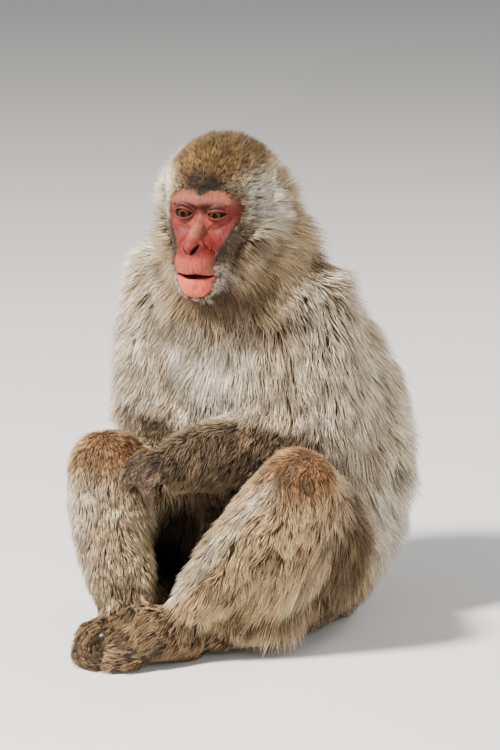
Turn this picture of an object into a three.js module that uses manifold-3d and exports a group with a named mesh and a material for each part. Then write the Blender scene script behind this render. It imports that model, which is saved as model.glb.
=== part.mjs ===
// A Japanese macaque (Macaca fuscata), a large male in winter coat, at life size.
// It sits on its rump with its knees up, its feet together and its left forearm across its lap.
// Millimetres, +Z up. The chest faces -Y and the animal's own left is +X.
// Every solid follows the body out to the tips of the coat, apart from the bare face.

import * as THREE from 'three';
import { mergeVertices } from 'three/addons/utils/BufferGeometryUtils.js';
import Module from 'manifold-3d';

const wasm = await Module();
wasm.setup();

// ---------------------------------------------------------------- driving sizes

const clearance = 0.35;             // gap left between two neighbouring solids
const floorBlock = 900;             // block below the seat that trims everything level

const joints = {
  left: {
    shoulder: [38, 44, 336], elbow: [70, 34, 208], wrist: [-32, -83, 186],
    hip: [40, 46, 74], knee: [103, -78, 183], ankle: [5, -133, 50],
    calf: { shift: [0, 0, 0], wide: [40, 42, 37, 25] },
    haunch: [[44, 34, 52], [52, -14, 42], [16, -70, 32]],
  },
  right: {
    shoulder: [-109, 39, 343], elbow: [-134, 22, 214], wrist: [-20, -26, 154],
    hip: [-50, 48, 76], knee: [-118, -82, 178], ankle: [-66, -112, 48],
    calf: { shift: [-9, -5, 0], wide: [41, 45, 45, 37] },
    haunch: [[-54, 35, 52], [-68, -12, 42], [-66, -66, 33]],
  },
};

// Trunk sections from the seat to the nape: height, centre, half-width and half-depth.
const trunkSections = [
  { z: -10, x: 0, y: 72, wide: 66, deep: 55 },
  { z: 25, x: -2, y: 81, wide: 89, deep: 76 },
  { z: 60, x: -3, y: 91, wide: 114, deep: 99 },
  { z: 105, x: -4, y: 97, wide: 130, deep: 112 },
  { z: 150, x: -5, y: 98, wide: 135, deep: 121 },
  { z: 200, x: -8, y: 95, wide: 134, deep: 124 },
  { z: 250, x: -13, y: 84, wide: 129, deep: 124 },
  { z: 300, x: -21, y: 68, wide: 120, deep: 114 },
  { z: 340, x: -26, y: 54, wide: 105, deep: 99 },
  { z: 372, x: -28, y: 42, wide: 78, deep: 76 },
];

const head = {
  eyes: new THREE.Vector3(-12, -78, 434.5),   // point midway between the pupils
  turn: 10,                                 // degrees towards its own left
  nod: -6,                                  // degrees, muzzle down
  pupilsApart: 33,
  eyeRadius: 10.5,
  eyeSetback: 9.5,                          // eyeball centre behind the plane of the pupils
};
const skullCentre = new THREE.Vector3(0, -10, -58);   // in the head's own axes

// ---------------------------------------------------------------- solids from grids

function toSolid(geometry) {
  const bare = geometry.clone();
  bare.deleteAttribute('normal');
  bare.deleteAttribute('uv');
  const merged = mergeVertices(bare, 1e-4);
  return new wasm.Manifold(new wasm.Mesh({
    numProp: 3,
    vertProperties: new Float32Array(merged.attributes.position.array),
    triVerts: new Uint32Array(merged.index.array),
  }));
}

function toGeometry(solid) {
  const mesh = solid.getMesh();
  const geometry = new THREE.BufferGeometry();
  geometry.setAttribute('position', new THREE.BufferAttribute(mesh.vertProperties, 3));
  geometry.setIndex(new THREE.BufferAttribute(mesh.triVerts, 1));
  geometry.computeVertexNormals();
  return geometry;
}

// Closes a stack of rings, all of one length, with a single point at each end.
function closedRings(start, rings, end) {
  const around = rings[0].length;
  const points = [start, ...rings.flat(), end];
  const last = points.length - 1;
  const faces = [];
  for (let i = 0; i < around; i++) {
    const next = (i + 1) % around;
    faces.push(0, 1 + next, 1 + i);
    for (let r = 0; r + 1 < rings.length; r++) {
      const low = 1 + r * around;
      const high = low + around;
      faces.push(low + i, low + next, high + next, low + i, high + next, high + i);
    }
    const top = 1 + (rings.length - 1) * around;
    faces.push(last, top + i, top + next);
  }
  const geometry = new THREE.BufferGeometry();
  const flat = points.flatMap((p) => [p.x, p.y, p.z]);
  geometry.setAttribute('position', new THREE.Float32BufferAttribute(flat, 3));
  geometry.setIndex(faces);
  return geometry;
}

const vector = (p) => new THREE.Vector3(p[0], p[1], p[2]);
const mix = (a, b, t) => a + (b - a) * t;

// Catmull-Rom through evenly spaced values.
function valueAlong(values, t) {
  const place = t * (values.length - 1);
  const i = Math.min(Math.floor(place), values.length - 2);
  const f = place - i;
  const at = (k) => values[Math.max(0, Math.min(values.length - 1, k))];
  const slopeA = (at(i + 1) - at(i - 1)) / 2;
  const slopeB = (at(i + 2) - at(i)) / 2;
  const f2 = f * f;
  const f3 = f2 * f;
  return (2 * f3 - 3 * f2 + 1) * at(i) + (f3 - 2 * f2 + f) * slopeA
    + (-2 * f3 + 3 * f2) * at(i + 1) + (f3 - f2) * slopeB;
}

// A limb with rounded ends along a smooth spine.
// wide and deep are half-sizes at each point of the spine, deep along `face`.
function limb({ spine, wide, deep = wide, face = [0, 0, 1], rings = 8, sides = 14, caps = 2 }, grow = 0) {
  const curve = new THREE.CatmullRomCurve3(spine.map(vector));
  const stack = [];
  const ring = (t, shrink, slide) => {
    const along = curve.getTangent(t);
    const centre = curve.getPoint(t).addScaledVector(along, slide);
    const side = new THREE.Vector3().crossVectors(vector(face), along).normalize();
    const out = new THREE.Vector3().crossVectors(along, side);
    const a = (valueAlong(wide, t) + grow) * shrink;
    const b = (valueAlong(deep, t) + grow) * shrink;
    const points = [];
    for (let i = 0; i < sides; i++) {
      const angle = (i / sides) * 2 * Math.PI;
      points.push(centre.clone()
        .addScaledVector(side, a * Math.cos(angle))
        .addScaledVector(out, b * Math.sin(angle)));
    }
    return points;
  };
  const bulge = (t) => Math.min(valueAlong(wide, t), valueAlong(deep, t)) * 0.85 + grow;
  for (let k = caps; k > 0; k--) {
    const angle = (k / (caps + 1)) * Math.PI / 2;
    stack.push(ring(0, Math.cos(angle), -Math.sin(angle) * bulge(0)));
  }
  for (let k = 0; k <= rings; k++) stack.push(ring(k / rings, 1, 0));
  for (let k = 1; k <= caps; k++) {
    const angle = (k / (caps + 1)) * Math.PI / 2;
    stack.push(ring(1, Math.cos(angle), Math.sin(angle) * bulge(1)));
  }
  const start = curve.getPoint(0).addScaledVector(curve.getTangent(0), -bulge(0));
  const end = curve.getPoint(1).addScaledVector(curve.getTangent(1), bulge(1));
  return toSolid(closedRings(start, stack, end));
}

const joined = (solids) => solids.reduce((all, next) => all.add(next));

// ---------------------------------------------------------------- head

// Distances below are in the head's own axes: x to its left, y up, z forward from the eyes.
const length = (x, y, z) => Math.sqrt(x * x + y * y + z * z);

function egg(p, centre, size) {
  const x = (p.x - centre[0]) / size[0];
  const y = (p.y - centre[1]) / size[1];
  const z = (p.z - centre[2]) / size[2];
  const near = length(x, y, z);
  return (near - 1) * near / Math.max(1e-6, length(x / size[0], y / size[1], z / size[2]));
}

function rod(p, from, to, radiusFrom, radiusTo) {
  const d = [to[0] - from[0], to[1] - from[1], to[2] - from[2]];
  const q = [p.x - from[0], p.y - from[1], p.z - from[2]];
  const reach = d[0] * d[0] + d[1] * d[1] + d[2] * d[2];
  const t = Math.max(0, Math.min(1, (q[0] * d[0] + q[1] * d[1] + q[2] * d[2]) / reach));
  return length(q[0] - d[0] * t, q[1] - d[1] * t, q[2] - d[2] * t) - mix(radiusFrom, radiusTo, t);
}

function blend(a, b, soft) {
  const h = Math.max(0, Math.min(1, 0.5 + (b - a) / (2 * soft)));
  return mix(b, a, h) - soft * h * (1 - h);
}

const carve = (a, b, soft) => -blend(-a, b, soft);

// The skull with its coat, the bare face, the muzzle and the jaw. Negative inside.
function headField(p) {
  const m = { x: Math.abs(p.x), y: p.y, z: p.z };
  let f = egg(m, [0, 10, -70], [59, 59, 66]);                            // crown and its hair
  f = blend(f, egg(m, [28, -12, -96], [54, 52, 48]), 18);                // mane behind the ears
  f = blend(f, egg(m, [38, -38, -57], [48, 45, 45]), 18);                // cheek ruff
  f = blend(f, egg(m, [0, -70, -29], [48, 34, 40]), 20);                 // beard
  f = blend(f, egg(m, [0, -10, -30], [37, 36, 30]), 7);                  // face itself
  f = blend(f, rod(m, [0, 13, -5], [25, 10, -12], 9, 7), 7);             // brow ridge
  f = blend(f, rod(m, [0, -2, -8], [0, -26, 24], 8.5, 8.5), 8);          // bridge of the nose
  f = blend(f, rod(m, [0, -38, -12], [0, -42, 15], 26, 20), 10);         // muzzle
  f = blend(f, rod(m, [0, -64, -14], [0, -65, 15], 20, 14), 8);          // lower jaw and lip
  f = blend(f, rod(m, [24, -15, -14], [15, -34, -4], 10, 9), 9);         // cheekbone
  f = carve(f, egg(m, [16.5, -1, 9], [12, 8.5, 9]), 6);                  // orbit
  return f;
}

const headAxes = new THREE.Matrix4()
  .makeRotationZ(THREE.MathUtils.degToRad(head.turn))
  .multiply(new THREE.Matrix4().makeRotationX(THREE.MathUtils.degToRad(-head.nod)))
  .multiply(new THREE.Matrix4().makeBasis(
    new THREE.Vector3(1, 0, 0), new THREE.Vector3(0, 0, 1), new THREE.Vector3(0, -1, 0)));
const fromHead = (p) => p.clone().applyMatrix4(headAxes).add(head.eyes);

// Where a ray from the middle of the skull leaves the head.
function headSurface(direction, grow) {
  let inside = 20;
  let outside = 130;
  for (let step = 4; step < 130; step += 1) {
    const p = skullCentre.clone().addScaledVector(direction, 130 - step);
    if (headField(p) < grow) {
      inside = 130 - step;
      outside = inside + 1;
      break;
    }
  }
  for (let k = 0; k < 12; k++) {
    const middle = (inside + outside) / 2;
    const p = skullCentre.clone().addScaledVector(direction, middle);
    if (headField(p) < grow) inside = middle;
    else outside = middle;
  }
  return fromHead(skullCentre.clone().addScaledVector(direction, inside));
}

// Rings around the forward axis, close together over the face.
function headSolid(grow = 0) {
  const faceRings = 14;
  const backRings = 7;
  const sides = 28;
  const faceEdge = 62;
  const angles = [];
  for (let i = 1; i <= faceRings; i++) angles.push((i / faceRings) * faceEdge);
  for (let i = 1; i < backRings; i++) angles.push(mix(faceEdge, 180, i / backRings));
  const rings = angles.map((degrees) => {
    const tilt = THREE.MathUtils.degToRad(degrees);
    return Array.from({ length: sides }, (_, i) => {
      const spin = -(i / sides) * 2 * Math.PI;
      const direction = new THREE.Vector3(
        Math.sin(tilt) * Math.cos(spin), Math.sin(tilt) * Math.sin(spin), Math.cos(tilt));
      return headSurface(direction, grow);
    });
  });
  const front = headSurface(new THREE.Vector3(0, 0, 1), grow);
  const back = headSurface(new THREE.Vector3(0, 0, -1), grow);
  return toSolid(closedRings(front, rings, back));
}

function eyeSolid(side, grow = 0) {
  const ball = new THREE.SphereGeometry(head.eyeRadius + grow, 12, 6);
  const place = fromHead(new THREE.Vector3(side * head.pupilsApart / 2, 0, -head.eyeSetback));
  return toSolid(ball).translate([place.x, place.y, place.z]);
}

function earSolid(side, grow = 0) {
  const low = fromHead(new THREE.Vector3(side * 79, -8, -72));
  const high = fromHead(new THREE.Vector3(side * 71, 18, -78));
  const face = new THREE.Vector3(side, 0.1, 0.35).transformDirection(headAxes);
  return limb({
    spine: [low.toArray(), low.clone().lerp(high, 0.5).toArray(), high.toArray()],
    wide: [7, 13, 11], deep: [4, 4.5, 4], face: face.toArray(), rings: 2, sides: 8,
  }, grow);
}

// ---------------------------------------------------------------- trunk, neck and tail

function trunkSolid(grow = 0) {
  const sides = 18;
  const stack = trunkSections.map((s) => Array.from({ length: sides }, (_, i) => {
    const angle = (i / sides) * 2 * Math.PI;
    return new THREE.Vector3(
      s.x + (s.wide + grow) * Math.cos(angle), s.y + (s.deep + grow) * Math.sin(angle), s.z);
  }));
  const first = trunkSections[0];
  const last = trunkSections[trunkSections.length - 1];
  const start = new THREE.Vector3(first.x, first.y, first.z - 10);
  const end = new THREE.Vector3(last.x, last.y, last.z + 14);
  return toSolid(closedRings(start, stack, end));
}

const neckSolid = (grow = 0) => limb({
  spine: [[-27, 40, 358], [-22, 22, 388], [-16, 6, 412]],
  wide: [90, 82, 66], deep: [77, 74, 64], face: [0, -1, 0], rings: 2, sides: 12,
}, grow);

const tailSolid = (grow = 0) => limb({
  spine: [[-8, 178, 62], [-12, 206, 44], [-20, 226, 26]],
  wide: [24, 21, 15], face: [0, 0, 1], rings: 3, sides: 8,
}, grow);

// ---------------------------------------------------------------- arms and legs

const between = (a, b, t) => a.map((value, i) => mix(value, b[i], t));

function upperArm(side, grow = 0) {
  const { shoulder, elbow } = joints[side];
  return limb({
    spine: [shoulder, between(shoulder, elbow, 0.5), elbow],
    wide: [57, 55, 44], deep: [60, 55, 45], face: [0, -1, 0], rings: 3, sides: 11,
  }, grow);
}

function forearm(side, grow = 0) {
  const { elbow, wrist } = joints[side];
  return limb({
    spine: [elbow, between(elbow, wrist, 0.35), between(elbow, wrist, 0.7), wrist],
    wide: [36, 35, 31, 25], deep: [37, 39, 40, 34], rings: 4, sides: 10,
  }, grow);
}

// The thigh, with the haunch and the long hair that hang below it to the ground.
function thigh(side, grow = 0) {
  const { hip, knee, haunch } = joints[side];
  return joined([
    limb({
      spine: [hip, between(hip, knee, 0.45), knee],
      wide: [70, 63, 34], deep: [76, 64, 33], face: [0, -1, 1], rings: 3, sides: 12, caps: 1,
    }, grow),
    limb({ spine: haunch, wide: [54, 46, 33], face: [0, 0, 1], rings: 3, sides: 9, caps: 1 }, grow),
  ]);
}

// The shin, with the hair that hangs beside the calf.
function shin(side, grow = 0) {
  const { knee, ankle, calf } = joints[side];
  const beside = (t) => between(knee, ankle, t).map((value, i) => value + calf.shift[i]);
  return limb({
    spine: [knee, beside(0.4), beside(0.75), beside(1)],
    wide: calf.wide, deep: [40, 43, 36, 27], face: [0, -1, 0], rings: 4, sides: 11,
  }, grow);
}

// ---------------------------------------------------------------- hands and feet

const digitSides = 5;

// Rows of fingers or toes, from the first to the last, each through its own three points.
function digits({ roots, bends, tips, thick, face, count = 4 }, grow) {
  return Array.from({ length: count }, (_, i) => {
    const t = i / (count - 1);
    return limb({
      spine: [roots, bends, tips].map(([first, last]) => between(first, last, t)),
      wide: thick, face, rings: 2, sides: digitSides, caps: 1,
    }, grow);
  });
}

const hands = {
  left: {
    palm: { spine: [[-34, -86, 185], [-44, -101, 187], [-50, -111, 188]],
      wide: [24, 25, 23], deep: [20, 17, 12], face: [-0.72, -0.25, 0.65] },
    fingers: { roots: [[-58, -104, 196], [-34, -112, 182]], bends: [[-71, -115, 186], [-40, -126, 169]],
      tips: [[-71, -108, 171], [-40, -115, 162]], thick: [9, 8.5, 6.5], face: [-0.5, -0.8, 0.2] },
    thumb: { spine: [[-48, -84, 186], [-60, -92, 180], [-64, -97, 170]], wide: [8, 7.5, 6], face: [0, -1, 0] },
  },
  right: {
    palm: { spine: [[-16, -30, 150], [-10, -40, 132], [-6, -50, 116]],
      wide: [22, 24, 23], deep: [18, 15, 12], face: [0, -1, 0.3] },
    fingers: { roots: [[-22, -52, 108], [10, -50, 108]], bends: [[-23, -60, 84], [12, -58, 84]],
      tips: [[-20, -54, 64], [9, -50, 64]], thick: [9, 8, 6.5], face: [0, -1, 0] },
    thumb: { spine: [[8, -36, 134], [18, -42, 118], [20, -48, 104]], wide: [8, 7.5, 6], face: [0, -1, 0] },
  },
};

function hand(side, grow = 0) {
  const { palm, fingers, thumb } = hands[side];
  return joined([
    limb({ ...palm, rings: 2, sides: 9, caps: 1 }, grow),
    ...digits(fingers, grow),
    limb({ ...thumb, rings: 2, sides: digitSides, caps: 1 }, grow),
  ]);
}

const feet = {
  left: {
    sole: { spine: [[4, -116, 20], [-12, -145, 32], [-28, -168, 26]],
      wide: [22, 27, 27], deep: [23, 30, 24], face: [0, 0, 1] },
    toes: { roots: [[-38, -160, 36], [-16, -182, 15]], bends: [[-52, -174, 36], [-28, -197, 14]],
      tips: [[-58, -183, 27], [-40, -204, 8]], thick: [10, 9, 7], face: [0, 0, 1] },
    bigToe: { spine: [[-24, -142, 50], [-38, -160, 53], [-49, -176, 47]], wide: [11, 10, 7.5], face: [0, 0, 1] },
  },
  right: {
    sole: { spine: [[-58, -100, 19], [-70, -136, 22], [-77, -170, 19]],
      wide: [22, 25, 26], deep: [20, 24, 21], face: [0, 0, 1] },
    toes: { roots: [[-70, -172, 31], [-88, -180, 14]], bends: [[-65, -190, 25], [-78, -200, 12]],
      tips: [[-53, -193, 14], [-60, -205, 7]], thick: [10, 9, 7], face: [0, 0, 1] },
    bigToe: { spine: [[-62, -134, 34], [-55, -152, 34], [-53, -168, 27]], wide: [10, 9.5, 7], face: [0, 0, 1] },
  },
};

function foot(side, grow = 0) {
  const { sole, toes, bigToe } = feet[side];
  return joined([
    limb({ ...sole, rings: 3, sides: 9, caps: 1 }, grow),
    ...digits(toes, grow),
    limb({ ...bigToe, rings: 2, sides: digitSides, caps: 1 }, grow),
  ]);
}

// ---------------------------------------------------------------- the whole body

const solidOf = {
  head: headSolid,
  neck: neckSolid,
  trunk: trunkSolid,
  tail: tailSolid,
};
for (const [side, sign] of [['left', 1], ['right', -1]]) {
  solidOf[`eye_${side}`] = (grow) => eyeSolid(sign, grow);
  solidOf[`ear_${side}`] = (grow) => earSolid(sign, grow);
  solidOf[`upper_arm_${side}`] = (grow) => upperArm(side, grow);
  solidOf[`forearm_${side}`] = (grow) => forearm(side, grow);
  solidOf[`hand_${side}`] = (grow) => hand(side, grow);
  solidOf[`thigh_${side}`] = (grow) => thigh(side, grow);
  solidOf[`shin_${side}`] = (grow) => shin(side, grow);
  solidOf[`foot_${side}`] = (grow) => foot(side, grow);
}

// Each solid gives way to the neighbours listed for it, which keep their whole shape.
const gives = {
  head: ['eye_left', 'eye_right', 'ear_left', 'ear_right'],
  neck: ['head', 'ear_left', 'ear_right'],
  hand_right: ['forearm_left', 'hand_left'],
  forearm_left: ['hand_left'],
  forearm_right: ['hand_right', 'forearm_left', 'hand_left'],
  upper_arm_left: ['forearm_left', 'head', 'neck'],
  upper_arm_right: ['forearm_right', 'head', 'neck', 'forearm_left'],
  foot_right: ['foot_left'],
  shin_left: ['foot_left', 'foot_right', 'hand_left', 'hand_right', 'forearm_left', 'forearm_right'],
  shin_right: ['foot_right', 'foot_left', 'hand_left', 'hand_right', 'forearm_left', 'forearm_right'],
};
const arms = ['left', 'right'].flatMap((side) => [`hand_${side}`, `forearm_${side}`, `upper_arm_${side}`]);
const lowerLegs = ['left', 'right'].flatMap((side) => [`shin_${side}`, `foot_${side}`]);
gives.thigh_left = [...arms, ...lowerLegs];
gives.thigh_right = [...arms, ...lowerLegs, 'thigh_left'];
gives.trunk = [...arms, ...lowerLegs, 'thigh_left', 'thigh_right', 'head', 'neck'];
gives.tail = ['trunk'];

const floor = toSolid(new THREE.BoxGeometry(floorBlock, floorBlock, floorBlock))
  .translate([0, 0, -floorBlock / 2]);

function finished(name) {
  let solid = solidOf[name](0).subtract(floor);
  for (const other of gives[name] ?? []) solid = solid.subtract(solidOf[other](clearance));
  return solid;
}

const coats = {
  head: 0x8f8168, neck: 0xa2957c, trunk: 0xa89d8a, tail: 0x8a7c68,
  eye: 0x6a4a22, ear: 0xb98478, upper_arm: 0x9a8d78, forearm: 0x6b5a48,
  hand: 0x6f5f4e, thigh: 0x94836b, shin: 0xb0a288, foot: 0x6a5848,
};
const kindOf = (name) => name.replace(/_(left|right)$/, '');

const group = new THREE.Group();
for (const name of Object.keys(solidOf)) {
  const kind = kindOf(name);
  const material = new THREE.MeshStandardMaterial({
    color: coats[kind], roughness: kind === 'eye' ? 0.1 : 0.9, metalness: 0,
  });
  const mesh = new THREE.Mesh(toGeometry(finished(name)), material);
  mesh.name = name;
  group.add(mesh);
}

// The origin is the middle of the bounding box, on the floor.
const box = new THREE.Box3().setFromObject(group);
group.position.set(-(box.min.x + box.max.x) / 2, -(box.min.y + box.max.y) / 2, -box.min.z);

export default group;
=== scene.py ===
import math

import bmesh
import bpy
import numpy as np
from mathutils import Matrix, Vector
from mathutils.bvhtree import BVHTree
from mathutils.kdtree import KDTree


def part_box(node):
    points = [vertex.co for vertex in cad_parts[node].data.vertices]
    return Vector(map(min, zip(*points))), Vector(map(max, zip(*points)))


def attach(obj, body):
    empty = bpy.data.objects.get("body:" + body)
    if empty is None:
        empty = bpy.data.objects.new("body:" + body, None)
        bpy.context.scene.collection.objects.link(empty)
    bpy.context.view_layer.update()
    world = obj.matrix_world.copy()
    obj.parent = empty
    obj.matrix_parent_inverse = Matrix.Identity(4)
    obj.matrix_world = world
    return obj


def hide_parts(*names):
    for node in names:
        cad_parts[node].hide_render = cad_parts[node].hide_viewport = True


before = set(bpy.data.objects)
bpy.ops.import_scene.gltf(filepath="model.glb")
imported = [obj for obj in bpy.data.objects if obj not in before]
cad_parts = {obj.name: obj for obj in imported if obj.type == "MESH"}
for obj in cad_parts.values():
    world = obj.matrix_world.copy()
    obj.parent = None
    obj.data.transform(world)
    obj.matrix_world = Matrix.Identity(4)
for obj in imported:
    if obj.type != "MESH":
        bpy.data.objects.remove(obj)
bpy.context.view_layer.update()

rng = np.random.default_rng(11)

# Joints of the body in millimetres, in the drawing's own origin.
joints = {
    "left": {"shoulder": (38, 44, 336), "elbow": (70, 34, 208), "wrist": (-32, -83, 186),
             "knee": (103, -78, 183), "ankle": (5, -133, 50)},
    "right": {"shoulder": (-109, 39, 343), "elbow": (-134, 22, 214), "wrist": (-20, -26, 154),
              "knee": (-118, -82, 178), "ankle": (-66, -112, 48)},
}

# Where the digits run, mm: the wrist or ankle, then root, bend and tip of the first and the last of the
# four, then the thumb or great toe. Out is the way the nails face.
hands = {
    "left": dict(wrist=(-34, -86, 185), roots=((-58, -104, 196), (-34, -112, 182)),
                 bends=((-71, -115, 186), (-40, -126, 169)), tips=((-71, -108, 171), (-40, -115, 162)),
                 thumb=((-48, -84, 186), (-60, -92, 180), (-64, -97, 170)), out=(-0.5, -0.8, 0.2)),
    "right": dict(wrist=(-16, -30, 150), roots=((-22, -52, 108), (10, -50, 108)),
                  bends=((-23, -60, 84), (12, -58, 84)), tips=((-20, -54, 64), (9, -50, 64)),
                  thumb=((8, -36, 134), (18, -42, 118), (20, -48, 104)), out=(0, -1, 0)),
}
feet = {
    "left": dict(wrist=(-8, -138, 36), roots=((-38, -160, 36), (-16, -182, 15)),
                 bends=((-52, -174, 36), (-28, -197, 14)), tips=((-58, -183, 27), (-40, -204, 8)),
                 thumb=((-24, -142, 50), (-38, -160, 53), (-49, -176, 47)), out=(0, 0, 1)),
    "right": dict(wrist=(-66, -128, 26), roots=((-70, -172, 31), (-88, -180, 14)),
                  bends=((-65, -190, 25), (-78, -200, 12)), tips=((-53, -193, 14), (-60, -205, 7)),
                  thumb=((-62, -134, 34), (-55, -152, 34), (-53, -168, 27)), out=(0, 0, 1)),
}
limbEnds = [*hands.values(), *feet.values()]

headPlan = {
    "eyeMiddle": (-12, -78, 434.5),   # point midway between the pupils, before the shift to the frame
    "nod": 6,                         # degrees, muzzle down
    "eyeSetback": 9.5,                # eyeball centre behind the pupils, mm
    "eyeRadius": 10.5,
    "eyeSide": 16.5,                  # eyeball centre from the middle plane, mm
}


def middleOf(node):
    low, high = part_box(node)
    return np.array((low + high) / 2)


leftEye, rightEye = middleOf("eye_left"), middleOf("eye_right")
up = np.array([0.0, 0.0, 1.0])
toLeft = (leftEye - rightEye) / np.linalg.norm(leftEye - rightEye)
level = np.cross(toLeft, up)
nod = math.radians(headPlan["nod"])
faceForward = level * math.cos(nod) - up * math.sin(nod)
faceUp = up * math.cos(nod) + level * math.sin(nod)
headAxes = np.stack([toLeft, faceUp, faceForward], 1)
eyeMiddle = (leftEye + rightEye) / 2 + faceForward * headPlan["eyeSetback"] / 1000
shift = eyeMiddle * 1000 - np.array(headPlan["eyeMiddle"])     # drawing to frame, mm


def fromHead(p):
    return eyeMiddle + (np.asarray(p, float) @ headAxes.T) / 1000


def toHead(p):
    return (np.asarray(p, float) - eyeMiddle) @ headAxes * 1000


def toDrawing(p):
    return np.asarray(p, float) * 1000 - shift


def fromDrawing(p):
    return (np.asarray(p, float) + shift) / 1000


def smooth(x, low, high):
    t = np.clip((x - low) / (high - low), 0, 1)
    return t * t * (3 - 2 * t)


def unit(v):
    return v / np.maximum(np.linalg.norm(v, axis=-1, keepdims=True), 1e-9)


def linear(rgb):
    c = np.asarray(rgb, float) / 255
    return np.where(c <= 0.04045, c / 12.92, ((c + 0.055) / 1.055) ** 2.4)


def meshFrom(name, verts, faces):
    verts = np.asarray(verts, np.float32)
    faces = np.asarray(faces, np.int32)
    size = faces.shape[1]
    mesh = bpy.data.meshes.new(name)
    mesh.vertices.add(len(verts))
    mesh.vertices.foreach_set("co", verts.ravel())
    mesh.loops.add(faces.size)
    mesh.loops.foreach_set("vertex_index", faces.ravel())
    mesh.polygons.add(len(faces))
    mesh.polygons.foreach_set("loop_start", np.arange(0, faces.size, size, dtype=np.int32))
    mesh.update(calc_edges=True)
    return mesh


def objectFrom(name, mesh):
    obj = bpy.data.objects.new(name, mesh)
    bpy.context.scene.collection.objects.link(obj)
    return obj


def readAll(items, key, size, kind=np.float32):
    # One stored value of every item, in rows of the given size.
    values = np.empty(len(items) * size, kind)
    items.foreach_get(key, values)
    return values.reshape(-1, size)


def vertsOf(mesh):
    return readAll(mesh.vertices, "co", 3).astype(float)


def normalsOf(mesh):
    return readAll(mesh.vertex_normals, "vector", 3).astype(float)


def edgesOf(mesh):
    return readAll(mesh.edges, "vertices", 2, np.int32)


def quadsOf(mesh):
    return readAll(mesh.loops, "vertex_index", 1, np.int32).reshape(-1, 4)


def trianglesOf(mesh, key="vertices"):
    mesh.calc_loop_triangles()
    return readAll(mesh.loop_triangles, key, 3, np.int32)


def moveTo(mesh, verts):
    mesh.vertices.foreach_set("co", verts.astype(np.float32).ravel())
    mesh.update()


def shadeSmooth(mesh):
    mesh.polygons.foreach_set("use_smooth", np.ones(len(mesh.polygons), bool))


def halved(quads):
    # Two triangles for each quad.
    return np.concatenate([quads[:, [0, 1, 2]], quads[:, [0, 2, 3]]])


def sphereGrid(tilt, spin):
    # Directions round a ball, one row for each tilt from the z axis.
    return np.stack([np.outer(np.sin(tilt), np.cos(spin)), np.outer(np.sin(tilt), np.sin(spin)),
                     np.outer(np.cos(tilt), np.ones(len(spin)))], -1)


def nearestTo(points, targets):
    # Number of the nearest target for each point.
    tree = KDTree(len(targets))
    for i, p in enumerate(targets.tolist()):
        tree.insert(p, i)
    tree.balance()
    return np.array([tree.find(p)[1] for p in points.tolist()])


def mirrored(p):
    # The same points, all on the side x > 0.
    m = np.array(p, float)
    m[..., 0] = np.abs(m[..., 0])
    return m


def averaged(values, edges, rounds, amount=0.5):
    values = np.array(values, float)
    flat = values.reshape(len(values), -1)
    count = np.bincount(edges.ravel(), minlength=len(flat)).astype(float)
    amount = np.broadcast_to(np.asarray(amount, float), (len(flat),))[:, None]
    for _ in range(rounds):
        total = np.zeros_like(flat)
        for c in range(flat.shape[1]):
            total[:, c] = np.bincount(edges[:, 0], flat[edges[:, 1], c], len(flat)) \
                + np.bincount(edges[:, 1], flat[edges[:, 0], c], len(flat))
        flat = flat + amount * (total / np.maximum(count, 1)[:, None] - flat)
    return flat.reshape(values.shape)


def remeshed(obj, voxel):
    modifier = obj.modifiers.new("voxels", "REMESH")
    modifier.mode = "VOXEL"
    modifier.voxel_size = voxel
    modifier.adaptivity = 0
    bpy.context.view_layer.update()
    shaped = obj.evaluated_get(bpy.context.evaluated_depsgraph_get())
    mesh = bpy.data.meshes.new_from_object(shaped)
    bpy.data.objects.remove(obj)
    return mesh


def lumps(p, size, seed=0):
    # Smooth value noise from -1 to 1, size in the units of p.
    q = np.asarray(p) / size + seed * 17.31
    base = np.floor(q).astype(np.int64)
    t = q - base
    t = t * t * (3 - 2 * t)
    total = np.zeros(len(q))
    for corner in np.ndindex(2, 2, 2):
        c = base + corner
        h = (c[:, 0] * 73856093) ^ (c[:, 1] * 19349663) ^ (c[:, 2] * 83492791) ^ (seed * 2654435)
        h = (h ^ (h >> 13)) * 1274126177
        value = ((h ^ (h >> 16)) & 0xFFFF) / 32767.5 - 1
        total += value * np.prod(np.where(corner, t, 1 - t), axis=1)
    return total


def blend(a, b, soft):
    h = np.clip(0.5 + (b - a) / (2 * soft), 0, 1)
    return b * (1 - h) + a * h - soft * h * (1 - h)


def carve(a, b, soft):
    return -blend(-a, b, soft)


def egg(p, centre, size):
    q = (p - centre) / size
    near = np.linalg.norm(q, axis=-1)
    return (near - 1) * near / np.maximum(np.linalg.norm(q / size, axis=-1), 1e-6)


def rod(p, start, end, radiusStart, radiusEnd):
    start, end = np.array(start, float), np.array(end, float)
    d = end - start
    t = np.clip((p - start) @ d / (d @ d), 0, 1)
    radius = radiusStart + (radiusEnd - radiusStart) * t
    return np.linalg.norm(p - start - t[..., None] * d, axis=-1) - radius


lids = {
    "halfWidth": 63,      # degrees at the eyeball, corner to middle
    "outward": 8,         # degrees the opening faces outwards
    "upper": (31, 22),    # degrees above the pupil, right eye and left eye
    "lower": (24, 20),
    "tilt": 2,            # degrees, outer corner up
    "radius": 11.6,       # outside of the lids from the middle of the eyeball, mm
    "bed": 8.6,           # how near that middle the opening goes
}


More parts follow.
